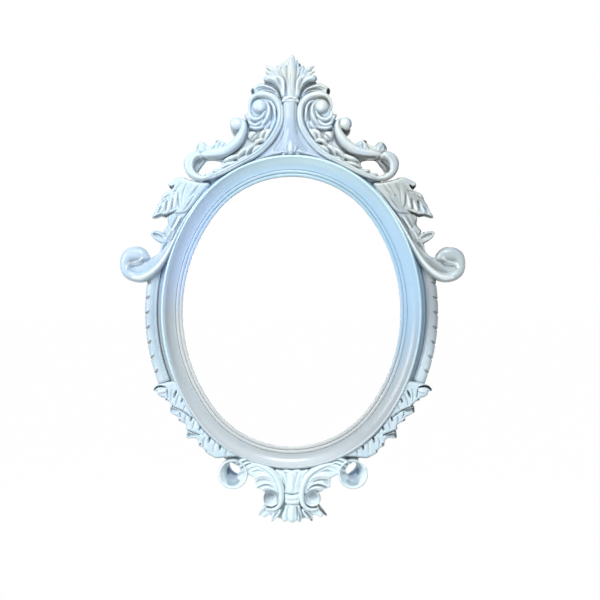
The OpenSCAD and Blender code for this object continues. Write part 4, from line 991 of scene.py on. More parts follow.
sides = {
    "shoulder_leaf": ("pair", railLevel, [
        ("pillow", 14, 2.6, [(386, 194), (396, 205), (404, 209.6), (410, 212), (415.8, 214.4), (417.8, 218),
                             (417.2, 223.4), (419, 227.0), (421.8, 229.8), (421.2, 232.4), (419.2, 236),
                             (420, 240.6), (424.4, 243.4), (425.6, 250), (429.6, 254.8), (434, 257.8),
                             (428, 259.6), (420, 252), (413, 240), (404, 224), (394, 209)]),
        ("pillow", 17.5, 3.4, [(374, 184), (383, 181.6), (391, 180), (396, 178.6), (400.4, 176.8),
                               (405.6, 176.8), (411.0, 179.2), (415.4, 181.4), (416.8, 184.2), (415.4, 187),
                               (413.6, 189.2), (417.4, 190.8), (422, 193.4), (424, 197), (425.4, 201),
                               (427.8, 204.4), (429.4, 208.6), (432, 212.8), (433.8, 217.2), (429.6, 217.2),
                               (425, 215.6), (420.6, 216.8), (416.6, 214.4), (411, 213.4), (404, 214),
                               (395.6, 211), (386, 199)]),
        ("pillow", 15, 1.8, [(418.2, 240.4), (419.4, 235.6), (422.6, 233), (424.6, 231.4), (428.6, 230.8),
                             (432.8, 230.4), (435.2, 232.6), (433.6, 236.4), (430, 239.8), (426, 242.2),
                             (422, 243.2)]),
        ("groove", 4.5, [(422.6, 237.6, 1.2, 0.6), (427, 235.8, 2.3, 1), (431.4, 234, 1.7, 0.9)]),
        ("groove", 9, [(410.2, 185.2, 0.8, 0.6), (412.6, 187.2, 1.5, 1), (414.6, 186.4, 1.1, 0.9)]),
        ("groove", 2.0, [(383.4, 184.6, 0.8, 0.6), (387.6, 190, 1.0, 1), (392.4, 196, 0.8, 0.5)]),
        ("ridge", 1.8, [(386.4, 184.2, 0.9, 0.6), (390.4, 189.8, 1.2, 1), (395, 195.4, 0.9, 0.6)]),
        ("groove", 1.8, [(396, 183.4, 0.9, 0.6), (399.6, 190, 1.2, 1), (401, 197, 1.0, 0.9),
                         (401.8, 203, 0.8, 0.6)]),
        ("groove", 1.8, [(402.6, 183.4, 0.8, 0.6), (407.6, 189, 1.0, 1), (410.4, 194.4, 0.9, 0.6)]),
        ("groove", 3.4, [(405.6, 193, 0.8, 0.5), (406.0, 199, 1.1, 1), (405.4, 204, 1.1, 1),
                         (403.6, 208, 0.9, 0.5)]),
        ("ridge", 2.4, [(407.4, 195.4, 1.0, 0.7), (408.6, 200.6, 1.5, 1), (410, 206.8, 1.3, 0.9)]),
        ("groove", 4.5, [(411.4, 199, 0.8, 0.5), (412.4, 204, 1.0, 1), (412.8, 209.4, 0.9, 0.8)]),
        ("ridge", 2.4, [(414.2, 202, 1.0, 0.7), (415.6, 206, 1.5, 1), (417, 210.4, 1.2, 0.9)]),
        ("groove", 4.5, [(417.6, 201, 0.8, 0.6), (418.8, 205, 1.0, 1), (419.6, 210, 0.9, 0.9)]),
        ("ridge", 2.2, [(420.6, 204.6, 0.9, 0.7), (422.4, 208, 1.3, 1), (424.4, 212, 1.0, 0.8)]),
        ("groove", 3.6, [(423.8, 205.6, 0.7, 0.6), (425.6, 208.8, 0.9, 1), (427.2, 212.6, 0.8, 0.8)]),
        ("groove", 2.2, [(413.4, 193.6, 0.7, 0.5), (418.4, 196.4, 0.9, 1), (423.4, 199.6, 0.8, 0.8)]),
        ("groove", 2.2, [(418, 199, 0.7, 0.5), (422.6, 202, 0.9, 1), (426.6, 205.6, 0.8, 0.8)]),
        ("groove", 2.2, [(407, 190.6, 0.8, 0.5), (413, 191.6, 0.9, 0.9), (419, 193.6, 0.8, 0.7)]),
        ("groove", 3.0, [(389.4, 196.4, 0.8, 0.6), (394.6, 203.6, 1.0, 1), (399.6, 210, 0.8, 0.6)]),
        ("groove", 5.5, [(407.6, 210.0, 0.7, 0.4), (410.6, 211.8, 0.9, 1), (414.4, 213.2, 0.9, 1),
                         (419.6, 215.4, 1.4, 1), (424.6, 214.6, 0.8, 0.8), (430, 216.4, 0.8, 0.8)]),
        ("groove", 3.4, [(401.6, 217.6, 0.8, 0.5), (405, 223, 1.0, 1), (409, 229.6, 0.8, 0.8)]),
        ("ridge", 3.2, [(403.6, 216.6, 0.9, 0.6), (406.8, 221.6, 1.3, 1), (410.4, 227.6, 1.1, 0.9),
                        (412.4, 231, 0.8, 0.5)]),
        ("groove", 3.4, [(406.4, 215.4, 0.8, 0.6), (410, 221.4, 1.0, 1), (413.2, 227.6, 0.8, 0.8)]),
        ("groove", 3.4, [(411.8, 231, 0.8, 0.5), (414.2, 235.4, 1.0, 1), (417.2, 240.4, 0.8, 0.8)]),
        ("ridge", 3.2, [(413.4, 229.6, 0.9, 0.6), (416, 233.8, 1.2, 1), (418.8, 238.4, 1.0, 0.8)]),
        ("groove", 4.5, [(418.0, 242.4, 1.2, 0.6), (420.6, 246.4, 2.1, 1), (423, 251.4, 1.7, 0.8)]),
    ]),
    "side_volute": ("pair", railLevel, [
        ("pillow", 14, 2.0, [(408, 236), (414, 240), (420, 246), (426, 252.6), (431, 257.2), (436, 257.6),
                             (440, 254), (450, 252), (460, 256), (462.4, 264), (459, 273), (450, 278.4),
                             (440, 277.6), (430, 271), (420, 258.6)]),
        ("round", 23, [(376.6, 188.6, 0.9, 0.6), (384, 199.0, 1.3, 0.68), (392, 210.2, 1.6, 0.78),
                       (399.8, 221.6, 1.8, 0.86), (406.2, 232.6, 2.0, 0.9), (412, 243.8, 2.2, 0.94),
                       (418.0, 254.2, 2.7, 0.97), (425.0, 264.0, 3.4, 1.0), (433.2, 271.8, 4.3, 1.0),
                       (442.8, 276.8, 5.1, 1.0), (452.2, 276.2, 5.1, 1.0), (458.8, 271.8, 5.2, 1.0),
                       (461.2, 265.6, 4.8, 1.0)]),
        ("round", 23, [(461.0, 267.0, 4.9, 1.0), (460.0, 260.4, 5.9, 1.02), (456.6, 255.6, 7.2, 1.04),
                       (451.2, 254.0, 7.8, 1.04), (446, 254.2, 7.3, 1.03), (441.8, 255.8, 5.7, 0.98),
                       (439.4, 257.0, 3.9, 0.9)]),
        ("groove", 2.4, [(442.2, 262.0, 1.0, 0.6), (445, 265.0, 1.4, 1), (449.4, 266.2, 1.7, 1),
                         (453.8, 266.8, 1.5, 0.9)]),
        ("ridge", 2.0, [(442.2, 258.8, 1.0, 0.6), (445, 260.8, 1.3, 1), (450, 261.8, 1.4, 1),
                        (454.6, 262.8, 1.4, 1), (457.6, 266, 1.3, 1), (457.6, 270, 1.1, 0.6)]),
        ("ridge", 1.6, [(380, 193.2, 0.8, 0.5), (391, 208.4, 0.9, 0.8), (403.4, 227.2, 1.1, 1),
                        (414.0, 247.4, 1.3, 1), (421.2, 260, 1.5, 1), (430, 269, 1.9, 1),
                        (440, 275.4, 2.2, 1), (449, 276.4, 1.8, 0.6)]),
    ]),
    "spray_upper": ("pair", railLevel, [
        ("pillow", 16, 3.0, [(404, 384), (410, 381.6), (417, 382.4), (423, 383.6), (428.4, 385),
                             (432.6, 389.4), (431.4, 391.4), (428.8, 391.2), (428.4, 394.4), (425.4, 397.0),
                             (421.2, 398.2), (419.8, 400.6), (416, 402), (413.8, 404.4), (411, 407),
                             (404, 410), (396, 414.6), (388, 418.8), (393, 409.6), (400, 396)]),
        ("groove", 9, [(419.6, 387.2, 0.8, 0.6), (424.6, 386.4, 1.1, 1), (428.8, 387.4, 1.2, 1),
                       (431.4, 389.6, 1.0, 1)]),
        ("ridge", 2.6, [(419.4, 390.6, 1.6, 0.7), (423.6, 391.2, 2.0, 1), (426.4, 392.2, 1.5, 0.6)]),
        ("groove", 8, [(407.8, 391.0, 0.9, 0.7), (409.2, 394, 1.3, 1), (410.6, 397.6, 0.9, 0.6)]),
        ("groove", 6, [(401.2, 398.8, 0.9, 0.8), (402.4, 402, 1.1, 1)]),
        ("groove", 4.5, [(418, 389.4, 0.8, 0.7), (417.6, 393.4, 0.9, 1), (417, 397.6, 0.8, 0.7)]),
        ("groove", 6, [(418.2, 399.2, 0.9, 1), (418.8, 399.8, 0.9, 1)]),
        ("groove", 2.4, [(404.6, 394.6, 0.9, 0.6), (407, 399.6, 1.2, 1), (408.4, 404.6, 1.0, 0.8)]),
        ("groove", 2.4, [(412.4, 389.6, 0.9, 0.6), (413.4, 394.6, 1.2, 1), (413.2, 400.4, 1.0, 0.8)]),
        ("groove", 2.0, [(397, 404.6, 0.9, 0.6), (399, 407.6, 1.1, 1), (400.4, 410.6, 0.9, 0.8)]),
    ]),
    "spray_middle": ("pair", railLevel, [
        ("pillow", 15.5, 3.0, [(388, 418), (397.6, 411), (405, 406.8), (410.4, 404.8), (413.2, 404.6),
                               (414.8, 408), (414.8, 412.8), (412.0, 414.2), (409.2, 416.0), (405.6, 417.8),
                               (406, 420.4), (403.8, 422), (400, 423.4), (397.2, 426), (397.8, 429.6),
                               (392, 432), (384, 435), (374, 438), (382, 427)]),
        ("groove", 8, [(393.4, 417.2, 0.8, 0.6), (398.4, 412.8, 0.9, 0.9), (403.4, 409.6, 1.0, 1),
                       (408, 407.6, 1.1, 1), (412, 406.4, 1.0, 0.9)]),
        ("groove", 6, [(405.6, 410.8, 1.0, 0.6), (409, 410.6, 2.2, 0.9), (412.6, 409.8, 2.7, 1)]),
        ("groove", 8, [(391.2, 415.6, 0.9, 0.7), (391.9, 418.4, 1.3, 1), (392.6, 421.4, 0.9, 0.6)]),
        ("groove", 4, [(404.2, 412.6, 0.8, 0.7), (403.8, 415, 0.9, 1), (402.8, 417.8, 0.8, 0.7)]),
        ("groove", 6, [(403.8, 420.2, 0.9, 1), (404.8, 420.6, 0.9, 1)]),
        ("groove", 7, [(381.8, 424.8, 0.9, 0.7), (382.8, 427.6, 1.2, 1), (384, 430.4, 0.9, 0.6)]),
        ("groove", 2.4, [(397.2, 414.8, 0.9, 0.6), (398.4, 418.8, 1.2, 1), (398.4, 423, 1.0, 0.8)]),
        ("groove", 2.4, [(387.4, 419.8, 0.9, 0.6), (389.2, 424, 1.2, 1), (390.6, 428.6, 1.0, 0.8)]),
        ("groove", 2.0, [(377.4, 430, 0.9, 0.6), (378.8, 432.4, 1.1, 1), (379.6, 435, 0.9, 0.8)]),
    ]),
    "spray_lower": ("pair", railLevel, [
        ("pillow", 15.5, 3.0, [(376, 435.6), (385, 431.4), (391, 429.8), (395.4, 429.2), (396.8, 433),
                               (397, 438.2), (393.8, 438.8), (389.4, 438.4), (386, 440), (385, 443),
                               (384.6, 446.2), (381.6, 447.8), (378.8, 450), (377.4, 453.2), (374.2, 455.4),
                               (371.2, 457.0), (366.6, 458.8), (356, 457.6), (346, 457.2), (338, 458),
                               (348, 452), (360, 446), (369, 439.6)]),
        ("groove", 8, [(384.0, 435.0, 0.9, 0.7), (388.4, 433, 1.0, 1), (392, 431.4, 1.0, 1),
                       (395.0, 430.4, 0.9, 0.8)]),
        ("groove", 6, [(387.2, 435.6, 1.0, 0.6), (390.6, 435.2, 1.8, 0.9), (394.2, 435.0, 2.4, 1)]),
        ("groove", 8, [(372.2, 435.8, 0.9, 0.6), (373.6, 439, 1.3, 1), (374.4, 442.8, 0.9, 0.6)]),
        ("groove", 8, [(361.8, 442.8, 0.9, 0.6), (363, 446.2, 1.3, 1), (363.4, 450.2, 0.9, 0.6)]),
        ("groove", 6, [(383, 444.2, 1.0, 1), (383.4, 445.6, 0.9, 1)]),
        ("groove", 2.4, [(378, 437.6, 0.9, 0.6), (379.8, 441.8, 1.2, 1), (379.4, 446.4, 1.0, 0.8)]),
        ("groove", 2.4, [(367.2, 441.6, 0.9, 0.6), (369.2, 446.8, 1.2, 1), (369.4, 452.6, 1.0, 0.8)]),
        ("groove", 2.4, [(355.4, 448.4, 0.9, 0.6), (357.2, 452.2, 1.2, 1), (357.4, 456, 1.0, 0.8)]),
        ("groove", 5, [(376.8, 450.6, 0.8, 0.8), (376.8, 452.6, 0.8, 0.8)]),
    ]),
}

base = {
    "lower_loop": ("pair", railLevel, [
        ("bowl", 23, (353.0, 474.2), 15.2, (350.6, 468.4)),
        ("round", 23, [(334.4, 458.8, 1.0, 0.66), (340.4, 459.2, 1.5, 0.84), (346.6, 461.6, 1.7, 0.86),
                       (351.4, 464.6, 1.3, 0.7)]),
        ("round", 23, [(332.6, 462.2, 1.1, 0.66), (338.6, 462.8, 1.6, 0.84), (344.4, 465.4, 1.7, 0.84),
                       (348.4, 468.6, 1.2, 0.66)]),
        ("round", 23, [(331.0, 465.6, 1.1, 0.66), (336.6, 466.6, 1.6, 0.82), (341.6, 469.4, 1.6, 0.8),
                       (344.8, 472.4, 1.1, 0.6)]),
        ("round", 23, [(354.6, 462.0, 1.0, 0.8), (357.4, 465.0, 1.1, 0.8), (358.8, 469.4, 1.0, 0.72),
                       (358.2, 474, 0.9, 0.6)]),
        ("hole", [(354.6, 462.6), (356.6, 464.6), (355.6, 468.4), (352.4, 472.2), (348.4, 474.4),
                  (346.0, 472.6), (346.8, 468.6), (350.2, 464.6)]),
    ]),
    "base_scroll": ("pair", plateLevel, [
        ("round", scrollRise, [(334, 463.4, 1.2, 0.74), (326, 465.2, 2.0, 0.86), (317.4, 468.4, 2.7, 0.96),
                               (310.2, 473.2, 3.2, 1.0), (305.0, 480.0, 3.4, 1.0), (302.2, 488, 3.3, 1.0),
                               (301.6, 496, 3.0, 1.0), (302.6, 502.8, 2.6, 0.98), (306.2, 507.6, 2.1, 0.94),
                               (311.6, 509.6, 1.8, 0.88), (317.6, 508.8, 1.4, 0.74)]),
        ("groove", 1.6, [(320, 466.0, 0.8, 0.6), (311, 470.6, 0.9, 1), (304.4, 477.6, 0.9, 1),
                         (300.8, 487, 0.9, 1), (300.0, 496, 0.9, 1), (301.4, 504, 0.8, 0.7)]),
    ]),
    "base_frond": ("pair", plateLevel, [
        ("pillow", 12.5, 2.4, [(305.6, 487), (308.6, 478.6), (314.4, 471.6), (322, 467.2), (331, 464.2),
                               (338.4, 464.8), (342.4, 468.4), (341.4, 472.4), (337, 475), (332.6, 477),
                               (330.6, 479.4), (330.2, 486.4), (327.8, 488.6), (323.6, 489), (321.6, 491.8),
                               (316, 490.8), (310, 492), (305, 494)]),
        ("groove", 3.4, [(321.6, 471.6, 0.8, 0.5), (327.4, 470.6, 1.1, 1), (332.4, 471.8, 0.9, 0.7)]),
        ("groove", 3.0, [(328.2, 467.2, 0.8, 0.5), (333.4, 467.8, 1.0, 1), (337.2, 470.0, 0.8, 0.7)]),
        ("groove", 3.8, [(313.4, 482.2, 1.2, 0.5), (319.4, 480.6, 2.2, 1), (326, 481.6, 2.6, 1),
                         (328.6, 483.6, 2.2, 0.8)]),
        ("ridge", 2.2, [(309.4, 480.6, 1.3, 0.7), (315.0, 476.4, 1.8, 1), (323, 475.2, 1.8, 1),
                        (329.4, 477.0, 1.2, 0.7)]),
        ("groove", 5, [(310.4, 487.4, 0.8, 0.6), (315.6, 485.0, 1.0, 1), (321, 485.2, 1.1, 1),
                       (327.0, 487.4, 0.9, 0.9)]),
        ("ridge", 1.8, [(309.4, 490.0, 1.0, 0.8), (314.6, 487.6, 1.2, 1), (319.6, 487.8, 1.2, 1),
                        (323, 489.2, 0.9, 0.6)]),
    ]),
    "base_cabochon": ("pair", plateLevel, [
        ("bowl", 16.5, (312.6, 498.2), 8.3, (313.0, 493.4)),
    ]),
    "base_vase": ("middle", plateLevel, [
        ("pillow", 14.5, 3.0, [(275.8, 469.8), (282, 470.6), (286.4, 469.4), (292, 470.6), (297.4, 469.4),
                               (302, 470.6), (308.2, 469.8), (305.4, 475), (301.6, 481.4), (299.4, 487),
                               (298.8, 493.4), (285.6, 493.4), (285, 487), (282.4, 481.4), (278.6, 475)]),
        ("groove", 2.6, [(285.4, 471.8, 1.0, 0.9), (286.6, 475.4, 1.3, 1), (288.2, 482, 1.0, 0.5)]),
        ("groove", 2.6, [(298.0, 471.8, 1.0, 0.9), (297.2, 475.4, 1.3, 1), (295.8, 482, 1.0, 0.5)]),
        ("ridge", 2.4, [(291.6, 473.4, 2.2, 0.6), (291.8, 480, 2.7, 1), (292, 489, 2.2, 0.8)]),
        ("groove", 1.6, [(281.2, 473.6, 0.9, 0.7), (284.6, 480, 1.0, 1), (287.2, 487, 0.8, 0.5)]),
        ("groove", 1.6, [(302.6, 473.6, 0.9, 0.7), (299.4, 480, 1.0, 1), (297.0, 487, 0.8, 0.5)]),
    ]),
    "base_collar": ("middle", plateLevel, [
        ("pillow", 16, 2.6, [(285.8, 493.8), (292, 495), (298.8, 493.8), (300, 497.6), (299, 503.4),
                             (292.4, 504.4), (286, 503.4), (285, 497.6)]),
        ("groove", 2.2, [(286.4, 499.2, 0.9, 0.8), (292.4, 500, 1.0, 1), (298.8, 499.2, 0.9, 0.8)]),
    ]),
    "base_palmette": ("middle", plateLevel, [
        ("pillow", 12, 2.6, [(286.6, 504.4), (298.4, 504.4), (300.4, 510), (301.8, 516), (301.2, 521.4),
                             (298.8, 522.6), (296.6, 520.8), (294.6, 522.2), (292.2, 523.0), (289.6, 522.2),
                             (287.6, 520.2), (285.4, 521.8), (282.6, 521), (282.0, 516), (284.4, 510)]),
        ("groove", 5.5, [(296.4, 507.4, 0.8, 0.6), (297.4, 512, 1.0, 1), (297.4, 517.6, 0.9, 1),
                         (296.8, 521, 0.8, 0.8)]),
        ("groove", 4.5, [(300.2, 511, 0.7, 0.7), (300.8, 516, 0.8, 1), (300.6, 520, 0.8, 1)]),
        ("groove", 3.2, [(288.4, 507.4, 0.8, 0.6), (287.2, 512.6, 1.0, 1), (287.4, 519.4, 0.9, 0.9)]),
        ("ridge", 2.4, [(292.2, 506, 2.0, 0.7), (292.2, 512, 2.8, 1), (292.2, 518.6, 2.4, 0.8)]),
    ]),
    "base_leaf": ("pair", plateLevel, [
        ("pillow", 9, 1.8, [(308.6, 510.0), (314, 509.2), (319.2, 508.6), (321.6, 511.6), (322.8, 516.4),
                            (319.6, 517.6), (316.4, 515.4), (312.0, 515.0)]),
        ("pillow", 12.5, 2.2, [(302.0, 509.4), (306.4, 509.6), (310, 512.6), (312.2, 517), (312.2, 521.6),
                               (309.2, 519.8), (305.6, 517.0), (303.0, 513.6)]),
        ("groove", 4.5, [(304.4, 511, 0.8, 0.6), (307.4, 514.2, 1.3, 1), (310.2, 518.4, 1.0, 0.8)]),
        ("round", leafRise, [(317.0, 504.2, 1.5, 0.7), (320.2, 508.4, 1.7, 0.8), (323.2, 512.4, 1.4, 0.6),
                             (326.2, 516.0, 1.0, 0.36)]),
        ("groove", 4, [(321.6, 509.0, 0.8, 0.7), (324, 512.6, 0.8, 1), (326, 515.6, 0.7, 0.8)]),
    ]),
}

# Backing plates: an outline and what is cut from it
plates = {
    "crest_plate": [(292, 62), (297, 66), (300.4, 71), (306, 73), (312, 74.5), (315, 78), (318.6, 84),
                    (325.0, 88.4), (329.2, 96), (332.0, 103), (332.2, 111), (335.6, 117), (338, 121.6),
                    (342, 119.6), (349.6, 120.6), (350.6, 126), (347, 132), (346, 136.6), (350, 142),
                    (355.6, 144), (362, 142.6), (371, 146), (380, 145), (385.6, 150), (392, 153),
                    (397.2, 158), (398.2, 164), (395.6, 171), (390, 176.4), (382.6, 179.8), (366, 180.6),
                    (352, 177), (330, 167), (310, 157), (292, 153)],
    "hole": [(361, 164), (363.4, 160.4), (375.4, 159.8), (380.6, 165.6), (384.4, 171.2), (381.8, 174.2),
             (372.6, 173.2), (369, 169.6), (362.6, 169.2)],
    "base_plate": [(292, 461), (318, 458), (334, 456), (339, 461), (338, 466), (335, 472), (330.4, 478),
                   (326.4, 484), (321.6, 489.4), (319, 494), (319.4, 501), (317.6, 506.4), (321, 509.6),
                   (321.6, 512.4), (317.6, 514.6), (308, 518.4), (300, 520.6), (292, 521)],
}

